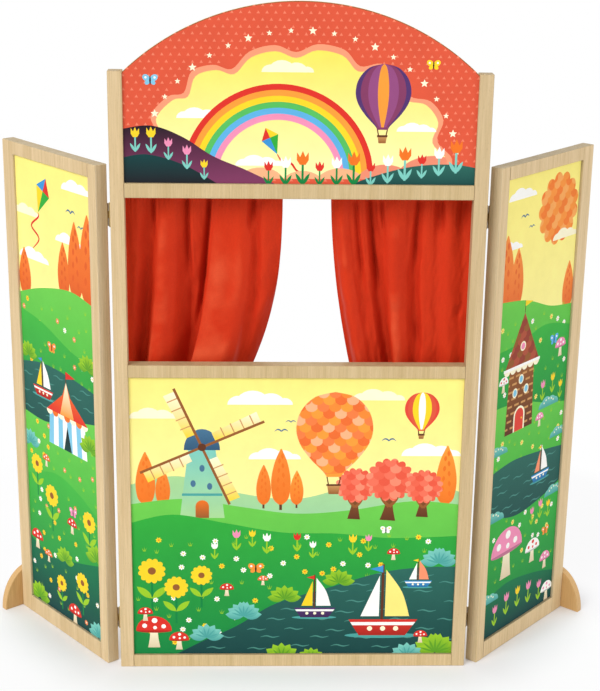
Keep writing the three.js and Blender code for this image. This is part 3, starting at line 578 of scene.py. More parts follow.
def add_curtain(label):
    """A curtain as one thin sheet with a map of its flat cut in metres."""
    points = curtain_points(label)
    rows, columns = points.shape[:2]
    steps = np.linalg.norm(np.diff(points, axis=0), axis=-1).mean(axis=1)
    spans = np.linalg.norm(np.diff(points, axis=1), axis=-1).mean(axis=0)
    length, width = (np.concatenate([[0], np.cumsum(parts)]) for parts in (steps, spans))
    faces = []
    for corner in range((rows - 1) * columns):
        if (corner + 1) % columns:
            quad = (corner, corner + 1, corner + columns + 1, corner + columns)
            faces.append(quad if SIDES[label] < 0 else quad[::-1])
    mesh = new_mesh(f"curtain_cloth_{label}", points.reshape(-1, 3), faces, smooth=True)
    piece = add_piece(mesh)
    corners = np.empty(len(mesh.loops), int)
    mesh.loops.foreach_get("vertex_index", corners)
    flat = np.stack([width[corners % columns], length[corners // columns]], axis=-1)
    mesh.uv_layers.new(name="Cut").data.foreach_set("uv", flat.ravel())
    # How far the cloth stands forward, which the satin reads for its painted shade in the valleys and painted
    # highlights on the crests
    fold = np.clip((ROD_Y - points[..., 1].ravel()) / FOLD_DEPTH_AT_HEM, -1.5, 1).astype(np.float32)
    mesh.attributes.new(FOLD, "FLOAT", "POINT").data.foreach_set("value", fold)
    thicken(piece, CLOTH)
    seam = length[TAIL_ROWS + LOOP_ROWS]
    stitch_rows = [STITCH_INSET, seam, length[-1] - HEM_TURN * 2 + STITCH_INSET, length[-1] - STITCH_INSET]
    piece.data.materials.append(satin(f"red_satin_{label}", [float(row) for row in stitch_rows]))
    leading, post = (Vector((SIDES[label] * across, ROD_Y, ROD_Z))
                     for across in (CURTAINS[label]["leading_edge"], POST_INNER - END_GAP))
    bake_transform(piece)
    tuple(post)
    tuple(leading)
    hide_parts(f"curtain_{label}")


def thicken(piece, thickness):
    """Gives a sheet its thickness, with closed edges."""
    modifier = piece.modifiers.new("thickness", "SOLIDIFY")
    modifier.thickness = thickness
    modifier.offset = 0
    modifier.use_even_offset = False
    graph = bpy.context.evaluated_depsgraph_get()
    solid = bpy.data.meshes.new_from_object(piece.evaluated_get(graph), depsgraph=graph)
    piece.modifiers.clear()
    piece.data = solid


# Foot plates
FOOT_ARC_STEPS = 48
FOOT_ROUNDING = 1.6 * MM
FOOT_SHARP_ANGLE = math.radians(40)


def add_foot(label, finish):
    """A quarter-round plywood plate in the CAD one's place, with softened edges and its layers mapped."""
    wing = WINGS[label]
    low, high = wing.flat_box(f"wing_{label}_foot")
    outline = [(high.y, 0.0)]
    for step in range(FOOT_ARC_STEPS + 1):
        angle = math.pi / 2 * step / FOOT_ARC_STEPS
        outline.append((high.y - (high.y - low.y) * math.cos(angle), high.z * math.sin(angle)))
    shape = bmesh.new()
    rings = [[shape.verts.new((x, y, z)) for y, z in outline] for x in (low.x, high.x)]
    shape.faces.new(rings[0][::-1])
    shape.faces.new(rings[1])
    for i in range(len(outline)):
        shape.faces.new((rings[0][i - 1], rings[0][i], rings[1][i], rings[1][i - 1]))
    bmesh.ops.recalc_face_normals(shape, faces=shape.faces)
    rim = [edge for edge in shape.edges if edge.verts[0].co.x == edge.verts[1].co.x]
    bmesh.ops.bevel(shape, geom=rim, offset=FOOT_ROUNDING, segments=3, profile=0.5, affect="EDGES")
    layer = shape.loops.layers.uv.new("Layers")
    for face in shape.faces:
        for loop in face.loops:
            loop[layer].uv = ((loop.vert.co.x - low.x) / (high.x - low.x), 1 - abs(face.normal.x))
        face.smooth = True
    bmesh.ops.transform(shape, matrix=wing.to_rest, verts=shape.verts)
    mesh = bpy.data.meshes.new(f"foot_{label}")
    shape.to_mesh(mesh)
    shape.free()
    mesh.set_sharp_from_angle(angle=FOOT_SHARP_ANGLE)
    piece = add_piece(mesh, f"wing_{label}", finish)
    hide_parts(f"wing_{label}_foot")


# Printed pictures, drawn in millimetres across and up, each shape over those before it
INK_THICKNESS = 0.2 * MM
CUT_TOLERANCE = 0.01
PRINT_MARGIN = 0.2
ARCH_RIM = 1.1
ARCH_SPRING_DROP = 2.0
PAST_EDGE = 5
EDGE_FREE = 8
TRIES = 12
RIPPLE_PITCH = 72
TRIANGLES_ACROSS, TRIANGLES_UP = 13, 10.5
LEAF_TIP = 0.05
POLE = 0.9
SWELL = 0.09

SKY, SKY_PALE, SKY_TOP, SKY_FOOT = (252, 232, 96), (255, 248, 178), (255, 240, 132), (255, 249, 190)
CORAL_PALE, CORAL, ROSE = (224, 90, 62), (250, 150, 110), (226, 72, 58)
ORANGE, AMBER, PEACH, MELON = (240, 118, 38), (250, 158, 60), (248, 182, 134), (250, 150, 60)
GREEN, GREEN_DEEP, LIME, OLIVE = (52, 172, 62), (22, 132, 66), (156, 204, 44), (96, 160, 40)
GRASS, PINE, RIPPLE = (112, 204, 80), (24, 120, 76), (74, 138, 126)
MINT, MINT_DEEP, PALE_GREEN = (126, 204, 190), (78, 164, 158), (170, 216, 150)
TEAL, TEAL_DEEP = (46, 104, 92), (22, 66, 66)
SLATE, SKY_BLUE, BLUE, CORNFLOWER = (74, 116, 146), (132, 200, 228), (62, 150, 214), (96, 178, 226)
BROWN, BROWN_DEEP, TAN = (150, 92, 48), (98, 54, 34), (206, 152, 92)
PLUM, PURPLE, NIGHT = (134, 62, 100), (84, 54, 110), (32, 26, 34)
WHITE, CREAM, YELLOW = (255, 253, 246), (255, 247, 212), (252, 214, 44)
PINK, RED = (242, 146, 182), (222, 52, 42)
MINT_LEAVES, LIME_LEAVES = (MINT, MINT_DEEP), (LIME, OLIVE)
MEADOW, SHORE = (GRASS, GREEN), (PINE, TEAL_DEEP)


def darker(colour, share):
    return tuple(int(c * share) for c in colour)


def polar(reach, degrees):
    return reach * math.cos(math.radians(degrees)), reach * math.sin(math.radians(degrees))


def ellipse(x, z, rx, rz, start=0.0, end=360.0, turn=0.0):
    """An ellipse, or the part of one between two angles in degrees, turned about its centre."""
    steps = max(6, round((10 + 0.5 * max(rx, rz)) * (end - start) / 360))
    c, s = polar(1, turn)
    outline = []
    for i in range(steps + (end - start < 360)):
        across, up = polar(1, start + (end - start) * i / steps)
        outline.append((x + rx * across * c - rz * up * s, z + rx * across * s + rz * up * c))
    return outline


def spline(knots, steps):
    """A smooth line through knots of any number of values each."""
    line = []
    last = len(knots) - 1
    for i in range(last):
        a, b, c, d = (knots[max(0, min(last, i + k))] for k in (-1, 0, 1, 2))
        for t in (step / steps for step in range(steps)):
            line.append(tuple(
                q + 0.5 * ((r - p) * t + (2 * p - 5 * q + 4 * r - s) * t ** 2
                           + (3 * q - p - 3 * r + s) * t ** 3)
                for p, q, r, s in zip(a, b, c, d)))
    return line + [tuple(knots[last])]


def ribbon(knots, steps=7):
    """A band along a smooth line; each knot is across, up and half the band's width."""
    line = spline(knots, steps)
    left, right = [], []
    for i, (x, z, half) in enumerate(line):
        ahead, behind = line[min(i + 1, len(line) - 1)], line[max(i - 1, 0)]
        dx, dz = ahead[0] - behind[0], ahead[1] - behind[1]
        share = half / (math.hypot(dx, dz) or 1)
        left.append((x - dz * share, z + dx * share))
        right.append((x + dz * share, z - dx * share))
    return left + right[::-1]


def scalloped(bumps):
    """A round outline of outward bumps, about 1 in radius."""
    outline = []
    for angle in (360 * i / (bumps * 7) for i in range(bumps * 7)):
        bump = abs(math.sin(math.radians(bumps * angle / 2))) ** 0.8
        outline.append(polar(1 - SWELL + SWELL * 1.6 * bump, angle))
    return outline


def inside(outline, places):
    """Which of the places an outline goes round."""
    ring = np.array(outline)
    near = np.flatnonzero(((places > ring.min(axis=0)) & (places < ring.max(axis=0))).all(axis=1))
    x, z = places[near].T
    turns = np.zeros(len(near), int)
    for (ax, az), (bx, bz) in zip(ring, np.roll(ring, -1, axis=0)):
        if az != bz:
            crossed = ((az > z) != (bz > z)) & (x < ax + (z - az) / (bz - az) * (bx - ax))
            turns += crossed * (1 if bz > az else -1)
    found = np.zeros(len(places), bool)
    found[near] = turns != 0
    return found


class Picture:
    """A flat drawing. Its first shape is the window that everything is cut to.

    Its sides are where the board's visible part ends. Places across are millimetres or shares of the width.
    """

    def __init__(self, window, colours, sides, by_shares=False, seed=0, flowers=(), gap=19):
        self.shapes, self.sides, self.flowers, self.gap = [], sides, flowers, gap
        self.origin, self.unit = (sides[0], sides[1] - sides[0]) if by_shares else (0, 1)
        self.rng = random.Random(seed)
        self.add(window, *colours)

    def add(self, outline, colour, fade=None, within=None):
        """Adds a shape: its colour at the top, its colour at the foot, and the shape that cuts it, if any."""
        turned = sum(a[0] * b[1] - b[0] * a[1] for a, b in zip(outline, outline[1:] + outline[:1]))
        heights = [p[1] for p in outline]
        outline = outline if turned > 0 else outline[::-1]
        colours = srgb(*(fade or colour)), srgb(*colour)
        self.shapes.append((outline, *colours, min(heights), max(heights), within))
        return len(self.shapes) - 1

    def ink(self, shape, height):
        """A shape's colour at a height."""
        _, low_colour, high_colour, low, high, _ = self.shapes[shape]
        t = min(1, max(0, (height - low) / (high - low)))
        return (*(a + (b - a) * t for a, b in zip(low_colour, high_colour)), 1.0)

    def cut(self):
        """Cuts the window along every outline into triangles, each with the topmost shape there."""
        points, edges = [], []
        for outline, *_ in self.shapes:
            first, count = len(points), len(outline)
            edges.extend((first + i, first + (i + 1) % count) for i in range(count))
            points.extend(Vector(p) for p in outline)
        points, _, triangles, *_ = delaunay_2d_cdt(points, edges, [], 0, CUT_TOLERANCE, False)
        middles = np.array(points)[np.array(triangles)].mean(axis=1)
        top = np.full(len(triangles), -1)
        covers = []
        for number, (outline, *_, within) in enumerate(self.shapes):
            covers.append(inside(outline, middles))
            if within is not None:
                covers[number] &= covers[within]
            top[covers[number]] = number
        return points, [(tuple(triangles[i]), top[i]) for i in np.flatnonzero(covers[0])]

    def mount(self, name, body, slot, front, finish, turn=Matrix()):
        """Makes the drawing a thin closed slab on the face of a board whose front lies at the given depth."""
        points, kept = self.cut()
        used = sorted({corner for triangle, _ in kept for corner in triangle})
        number = {corner: i for i, corner in enumerate(used)}
        triangles = [tuple(number[c] for c in triangle) for triangle, _ in kept]
        edges = {(t[i - 1], t[i]) for t in triangles for i in range(3)}
        follow = {a: b for a, b in edges if (b, a) not in edges}
        rim = [min(follow)]
        while follow[rim[-1]] != rim[0]:
            rim.append(follow[rim[-1]])
        back = {corner: len(used) + i for i, corner in enumerate(rim)}
        flat = [Vector((points[c][0] * MM, front - INK_THICKNESS, points[c][1] * MM)) for c in used]
        flat += [Vector((flat[c].x, front, flat[c].z)) for c in rim]
        walls = [(follow[a], a, back[a], back[follow[a]]) for a in rim]
        faces = triangles + walls + [tuple(back[c] for c in rim[::-1])]
        mesh = new_mesh(name, [turn @ p for p in flat], faces)
        inks = []
        for (_, shape), triangle in zip(kept, triangles):
            for corner in triangle:
                inks.extend(self.ink(shape, points[used[corner]][1]))
        inks.extend(ink(*BOARD_FACE) * (len(mesh.loops) - 3 * len(triangles)))
        layer = mesh.color_attributes.new(name=INK, type="FLOAT_COLOR", domain="CORNER")
        layer.data.foreach_set("color", inks)
        add_piece(mesh, body, finish)

    def pen(self, across, z, size, turn=0):
        return Pen(self, self.origin + self.unit * across, z, size, turn)

    def each(self, motif, rows, *same):
        """Draws a motif for each row of a place, a size and what else is its own, with what is the same."""
        for across, z, size, *own in rows:
            motif(self.pen(across, z, size), *own, *same)

    def hill(self, knots, colours, foot):
        """A slope down to a foot. A first or last knot that is a bare height lies past the picture's side."""
        ends = {0: self.sides[0] - PAST_EDGE, len(knots) - 1: self.sides[1] + PAST_EDGE}
        places = [(self.origin + self.unit * knot[0], knot[1]) if isinstance(knot, tuple) else (ends[i], knot)
                  for i, knot in enumerate(knots)]
        return self.add([(places[0][0], foot), *spline(places, 8), (places[-1][0], foot)], *colours)

    def meadow(self, knots, colours, foot, low, high, count):
        """A hill with grass and small flowers at random places between two heights that keep a distance."""
        self.hill(knots, colours, foot)
        placed = []
        for _ in range(count * TRIES):
            x = self.rng.uniform(self.sides[0] + EDGE_FREE, self.sides[1] - EDGE_FREE)
            spot = (x, self.rng.uniform(low, high))
            if len(placed) < count and all(math.dist(spot, other) > self.gap for other in placed):
                placed.append(spot)
                kind = self.rng.randrange(2 * len(self.flowers))
                if kind < len(self.flowers):
                    daisy(Pen(self, *spot, 5), *self.flowers[kind])
                else:
                    grass(Pen(self, *spot, 9), LIME)

    def water(self, knots, foot, levels, start):
        """A stretch of water with short pale waves at some levels from a start across."""
        shape = self.hill(knots, (TEAL, TEAL_DEEP), foot)
        for row, level in enumerate(levels):
            first = int(start) + 10 + RIPPLE_PITCH // 2 * (row % 2)
            for x in range(first, int(self.sides[1]), RIPPLE_PITCH):
                across, up = x + self.rng.uniform(-12, 12), level + self.rng.uniform(-3, 3)
                wave = ((-16, 0, 0.3), (-6, 2.2, 1.1), (5, -0.6, 1.1), (16, 1.6, 0.3))
                self.add(ribbon([(across + p, up + q, half) for p, q, half in wave], 4), RIPPLE, within=shape)


class Pen:
    """Draws on a picture from a place, in shares of a width and a height, and turned about the place."""

    def __init__(self, picture, x, z, size, turn=0):
        self.picture, self.x, self.z, self.turn = picture, x, z, polar(1, turn)
        self.wide, self.tall = size if isinstance(size, tuple) else (size, size)

    def at(self, across, up):
        """The place in millimetres for shares across and up."""
        p, q, (c, s) = across * self.wide, up * self.tall, self.turn
        return self.x + p * c - q * s, self.z + p * s + q * c

    def inner(self, across, up, wide, tall=None, turn=0):
        """A pen at a place within this one, for a part of its size."""
        return Pen(self.picture, *self.at(across, up), (self.wide * wide, self.tall * (tall or wide)), turn)

    def area(self, corners, *colours, within=None):
        return self.picture.add([self.at(*corner) for corner in corners], *colours, within=within)

    def both(self, half, *colours):
        """A symmetric shape, given by its right half."""
        return self.area(half + [(-p, q) for p, q in half[::-1] if p], *colours)

    def box(self, left, low, right, high, *colours, within=None):
        return self.area([(left, low), (right, low), (right, high), (left, high)], *colours, within=within)

    def pole(self, low, high, half, colour):
        """An upright bar with half its width in millimetres."""
        self.box(-half / self.wide, low, half / self.wide, high, colour)

    def door(self, half, high, *colours):
        """A doorway with a round head, by half its width and the height of its straight sides."""
        (x, z), r = self.at(0, high), half * self.wide
        self.picture.add([(x - r, self.z), *ellipse(x, z, r, r, 0, 180)[::-1], (x + r, self.z)], *colours)

    def oval(self, across, up, rx, rz, *colours, start=0, end=360, turn=0, within=None):
        outline = ellipse(*self.at(across, up), rx * self.wide, rz * self.tall, start, end, turn)
        return self.picture.add(outline, *colours, within=within)

    def dot(self, across, up, reach, colour, within=None):
        """A round dot, its radius a share of the width."""
        self.oval(across, up, reach, reach * self.wide / self.tall, colour, within=within)

    def hem(self, count, half, up, rx, rz, colours):
        """A row of hanging half ovals."""
        for i in range(count):
            self.oval(half * ((2 * i + 1) / count - 1), up, rx, rz, colours[i % len(colours)], start=180)

    def band(self, knots, *colours, steps=7, within=None):
        """A band along a smooth line, with half its width at a knot as a share of the pen's width."""
        line = [(*self.at(p, q), half * self.wide) for p, q, half in knots]
        return self.picture.add(ribbon(line, steps), *colours, within=within)

    def leaf(self, start, end, half, *colours, within=None):
        """A leaf between two places, widest in the middle."""
        tip = LEAF_TIP / self.wide
        widths = ((0, tip), (0.25, half * 0.8), (0.5, half), (0.75, half * 0.75), (1, tip))
        knots = [(*(a + (b - a) * t for a, b in zip(start, end)), wide) for t, wide in widths]
        self.band(knots, *colours, steps=3, within=within)


def cloud(pen, colour=WHITE):
    for across, reach in ((-0.34, 0.17), (-0.12, 0.27), (0.16, 0.22), (0.37, 0.13)):
        pen.oval(across, 0, reach, reach * 0.86, colour, end=180)


def scales(pen, shape, pitch, colours):
    """Rows of overlapping round scales within a shape. The pen has half the shape's width and height."""
    step = pitch * 0.62
    for row in range(int(2 * pen.tall / step) + 2):
        level = row * step - pen.tall
        reach = pen.wide * math.sqrt(max(0, 1 - (level / (pen.tall * 1.08)) ** 2)) + pitch
        count = int(reach / pitch) + 1
        for i in range(-count, count + 1):
            across = pen.x + (i + 0.5 * (row % 2)) * pitch
            colour = colours[(row * 2 + i) % len(colours)]
            pen.picture.add(ellipse(across, pen.z + level, pitch * 0.53, pitch * 0.5), colour, within=shape)


def scaly_round(pen, bumps, colour, pitch, scale_colours):
    scales(pen, pen.area(scalloped(bumps), colour), pitch, scale_colours)


def balloon(pen, colours, pitch=0):
    """A hot-air balloon of nested gores, or of scales where a pitch is given."""
    half = (
        (0, 1), (0.52, 0.86), (0.88, 0.48), (1, 0), (0.9, -0.44), (0.62, -0.86), (0.3, -1.2), (0.2, -1.34))
    gores = [spline([(p * squeeze, q) for p, q in half], 5) for squeeze in (1, 0.82, 0.55, 0.2)]
    thin = POLE / pen.wide
    for side in (-1, 1):
        pen.band([(side * 0.19, -1.3, thin), (side * 0.13, -1.62, thin)], BROWN_DEEP, steps=1)
    whole = pen.both(gores[0], colours[0])
    if pitch:
        scales(pen.inner(0, -0.1, 1, 1.2), whole, pitch, colours)
    else:
        for i in (1, 2, 3):
            pen.both(gores[i], colours[i % len(colours)])
    pen.both([(0.22, -1.28), (0.19, -1.37)], colours[1])
    pen.both([(0.17, -1.6), (0.13, -1.86)], TAN, BROWN)
    rim = 1.6 / pen.tall
    pen.box(-0.19, -1.6 - rim, 0.19, -1.6 + rim, BROWN_DEEP)


def kite(pen, colours, tail):
    """A diamond of four colours with a red tail through the knots given."""
    knots = [(*pen.at(0, -1), 0.6)]
    for across, z, half in tail:
        knots.append((pen.picture.pen(across, z, 1).x, z, half * 1.08))
    pen.picture.add(ribbon(knots, 6), RED)
    for (side, end), colour in zip(((-1, 1), (1, 1), (-1, -1), (1, -1)), colours):
        pen.area([(0, end), (side * 0.62, 0.25), (0, 0.25)], colour)


def star(pen, colour):
    pen.area([polar(0.44 if i % 2 else 1, 90 + 36 * i) for i in range(10)], colour)


def fan(pen, colours, lobes=7):
    """A low bush of round leaves spread like a fan, with thin ones between them."""
    pitch = 164 / (lobes - 1)
    for angle in [8 + pitch * i for i in range(lobes)] + [90]:
        across, up = polar(0.34, angle)
        pen.leaf((0, 0), (across * 1.5, up * 1.35), 0.13, *colours)
    for i in range(lobes - 1):
        across, up = polar(1, 8 + pitch * (i + 0.5))
        pen.leaf((0, 0), (across * 0.36, up * 0.34), 0.022, colours[1])


def bush(pen, colours):
    """A lumpy bush with a flat foot and pale berries."""
    for across, reach in ((-0.33, 0.18), (0.33, 0.18), (-0.12, 0.28), (0.15, 0.25)):
        pen.oval(across, 0, reach, reach * 1.1, *colours, end=180)
    for angle in range(30, 151, 30):
        across, up = polar(1, angle)
        pen.dot(across * 0.27, 0.05 + up * 0.17, 0.028, CREAM)


def poplar(pen, *colours):
    pen.box(-0.07, -0.1, 0.07, 0.3, BROWN_DEEP)
    crown = [(0, 0, 0.1), (0, 0.12, 0.4), (0, 0.42, 0.5), (0, 0.75, 0.33), (0, 1, 0.03)]
    whole = pen.band(crown, *colours, steps=6)
    for i in range(9):
        up, aside = 0.14 + 0.085 * i, (-1) ** i * (0.2 - 0.016 * i)
        pen.leaf((aside, up), (aside * 0.8, up + 0.1), 0.07, colours[1], within=whole)


def round_tree(pen, foot):
    """A tree with a scaly crown over a trunk with two boughs, down to a foot in millimetres."""
    rise = (foot - pen.z) / pen.tall
    low, bend = rise - 6 / pen.tall, rise + 16 / pen.tall
    pen.band([(-0.06, low, 0.34), (-0.02, bend, 0.19), (0, rise / 2, 0.15), (0, 0, 0.2)], BROWN, BROWN_DEEP)
    for side in (-1, 1):
        pen.band([(0, -1.25, 0.08), (side * 0.28, -0.95, 0.06), (side * 0.5, -0.5, 0.04)], BROWN)
    reds = [(244, 116, 90), (236, 92, 68), (248, 142, 112), (240, 104, 78)]
    scaly_round(pen.inner(0, 0, 1, 0.95), 16, (240, 96, 70), pen.wide * 0.48, reds)


def tulip(pen, colour, stem):
    pen.box(-0.05, 0, 0.05, 1, stem)
    for side in (-1, 1):
        pen.leaf((0, 0), (side * 0.32, 0.55), 0.08, stem)
    pen.both([(0, 1.56), (0.12, 1.28), (0.26, 1.5), (0.27, 1.15), (0.13, 0.93)], colour)


def daisy(pen, colour=WHITE, centre=YELLOW, petals=7):
    for angle in (360 / petals * i + 12 for i in range(petals)):
        pen.oval(*polar(0.62, angle), 0.4, 0.26, colour, turn=angle)
    pen.dot(0, 0, 0.3, centre)


def sunflower(pen):
    """A stem with two leaves and a large head, from the head's centre."""
    pen.pole(-0.9, 0, 1.7, GREEN_DEEP)
    for side in (-1, 1):
        pen.leaf((0, -0.6), (side * 0.3, -0.34), 0.07, LIME)
    daisy(pen.inner(0, 0, 0.27), YELLOW, BROWN, 12)


def toadstool(pen, cap=RED, dots=WHITE):
    pen.band([(0, 0, 0.17), (0, 0.3, 0.12), (0, 0.62, 0.1)], CREAM, (226, 206, 170), steps=4)
    whole = pen.oval(0, 0.52, 0.5, 0.46, cap, end=180)
    pen.oval(0, 0.53, 0.5, 0.07, darker(cap, 0.8), start=180)
    for spot in ((-0.26, 0.68, 0.07), (0.02, 0.84, 0.08), (0.27, 0.66, 0.065), (0.03, 0.62, 0.055)):
        pen.dot(*spot, dots, within=whole)


def grass(pen, colour):
    for lean in (-0.45, 0, 0.45):
        pen.area([(lean * 0.3 - 0.08, 0), (lean * 0.3 + 0.08, 0), (lean, 1 - abs(lean) * 0.5)], colour)


def bird(pen):
    for side in (-1, 1):
        tip = (side * 0.66, 0, 0.1 / pen.wide)
        pen.band([(0, 0, 0.05), (side * 0.16, 0.17, 0.07), (side * 0.4, 0.2, 0.06), tip], SLATE, steps=5)


def butterfly(pen, colour, spots=WHITE):
    for side in (-1, 1):
        pen.oval(side * 0.3, 0.2, 0.3, 0.24, colour, turn=side * 35)
        pen.oval(side * 0.22, -0.16, 0.2, 0.16, colour, turn=-side * 35)
        pen.dot(side * 0.34, 0.22, 0.09, spots)
    pen.oval(0, 0, 0.06, 0.34, NIGHT)


def boat(pen, hull, sail, jib, pennant):
    """A small sailing boat, from its waterline."""
    pen.oval(0, -0.1, 0.62, 0.05, MINT_DEEP)
    pen.box(-0.022, 0.1, 0.022, 1.22, BROWN_DEEP)
    thin = 0.1 / pen.wide
    edge = ribbon([(0.05, 1.12, thin), (0.32, 0.72, thin), (0.46, 0.26, thin)], 5)
    pen.area([(0.05, 0.26), *edge[:len(edge) // 2]], sail)
    pen.area([(-0.05, 0.26), (-0.05, 1.02), (-0.36, 0.26)], jib)
    pen.area([(0, 1.2), (0, 1.07), (-0.22, 1.135)], pennant)
    whole = pen.area([(-0.56, 0.2), (0.6, 0.2), (0.4, -0.1), (-0.38, -0.1)], hull, darker(hull, 0.75))
    pen.box(-0.7, 0.09, 0.7, 0.15, WHITE, within=whole)
    for across in (-0.2, 0.02, 0.24):
        pen.dot(across, 0.03, 0.045, CREAM, within=whole)


def windmill(pen):
    """A tapered mill with a round cap, a door, windows and four lattice sails."""
    pen.both([(0.3, 0), (0.18, 1)], MINT, PALE_GREEN)
    pen.box(-0.27, 0.322, 0.27, 0.358, MINT_DEEP)
    pen.oval(0, 0.98, 0.24, 0.3, SLATE, (52, 88, 118), end=180)
    pen.door(0.09, 0.17, ORANGE, BROWN)
    for across, up in ((-0.12, 0.5), (0.1, 0.46), (0, 0.72)):
        pen.oval(across, up, 0.035, 0.05, SLATE)
    for quarter in range(4):
        sail = pen.inner(0, 1.02, 1, turn=24 + 90 * quarter)
        sail.area([(0.2, 0.01), (0.86, 0.01), (0.86, 0.17), (0.2, 0.13)], CREAM, YELLOW)
        for across in (0.33, 0.47, 0.61, 0.75):
            sail.box(across, 0, across + 0.016, 0.16, TAN)
        sail.box(0, -0.018, 0.9, 0.018, BROWN)
    pen.dot(0, 1.02, 0.055, BROWN_DEEP)


def tent(pen, stripes, roof):
    """A round striped tent under a pointed roof with a scalloped hem and a pennant."""
    pen.pole(0.9, 1.16, POLE, BROWN_DEEP)
    pen.area([(0, 1.16), (0.24, 1.11), (0, 1.05)], RED)
    for i in range(8):
        a, b = i / 8 - 0.5, (i + 1) / 8 - 0.5
        pen.area([(a, 0), (b, 0), (b * 0.92, 0.5), (a * 0.92, 0.5)], stripes[i % 2])
    pen.both([(0.1, 0), (0, 0.36)], NIGHT, TEAL_DEEP)
    pen.both([(0.54, 0.5 - 1 / pen.tall), (0.1, 0.8), (0, 1)], *roof)
    pen.both([(0.18, 0.5), (0, 1)], CREAM, AMBER)
    pen.hem(7, 0.54, 0.5 - 0.5 / pen.tall, 0.08, 0.07, (CREAM, roof[0]))


def tower(pen):
    """A brown tower with pale bricks, a rose door, windows and a tiled cone over a scalloped hem."""
    wall = pen.both([(0.5, 0), (0.43, 0.56)], BROWN, BROWN_DEEP)
    for i in range(9):
        up = 0.05 + 0.062 * i
        for across in ((j + 0.5 * (i % 2)) * 0.24 for j in range(-3, 4)):
            pen.box(across - 0.08, up - 0.009, across + 0.08, up + 0.009, TAN, within=wall)
    cone = pen.both([(0.625, 0.55), (0, 1)], (168, 82, 58), BROWN_DEEP)
    scales(pen.inner(0, 0.76, 0.6, 0.24), cone, pen.wide * 0.2, [(176, 84, 60), (150, 66, 50), BROWN])
    pen.hem(6, 0.625, 0.555, 0.11, 0.045, (CREAM,))
    pen.box(-0.65, 0.548, 0.65, 0.572, WHITE)
    pen.door(0.2, 0.13, CREAM)
    pen.door(0.155, 0.13, ROSE)
    pen.dot(0.09, 0.1, 0.02, YELLOW)
    for across, up in ((-0.2, 0.34), (0.2, 0.34), (0, 0.44)):
        pen.oval(across, up, 0.09, 0.042, CREAM)
        pen.oval(across, up, 0.06, 0.03, SKY_BLUE)
    pen.dot(0, 0.72, 0.1, CREAM)
    pen.dot(0, 0.72, 0.07, PINK)
    pen.pole(1, 1.1, POLE, BROWN_DEEP)
    pen.area([(0, 1.1), (0.28, 1.075), (0, 1.05)], YELLOW)


def window_arch(rim=0.0):
    """The arch board's visible part, between the posts, the rail and the arc, less a rim at the arc."""
    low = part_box("upper_rail")[1].z / MM + PRINT_MARGIN
    half = POST_INNER / MM - PRINT_MARGIN
    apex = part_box("arch_panel")[1].z / MM - PRINT_MARGIN
    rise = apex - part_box("post_left")[1].z / MM + ARCH_SPRING_DROP
    radius = (half ** 2 + rise ** 2) / (2 * rise) - rim
    reach = math.degrees(math.asin(half / radius))
    arc = ellipse(0, apex - radius - rim, radius, radius, 90 - reach, 90 + reach)
    return [(-half, low), (half, low)] + arc


def landscape(box, *settings):
    """An empty picture of a pale sky for a rectangular board."""
    left, right, low, high = (side + way * PRINT_MARGIN for side, way in zip(box, (1, -1, 1, -1)))
    window = [(left, low), (right, low), (right, high), (left, high)]
    return Picture(window, (SKY_TOP, SKY_FOOT), box[:2], *settings)


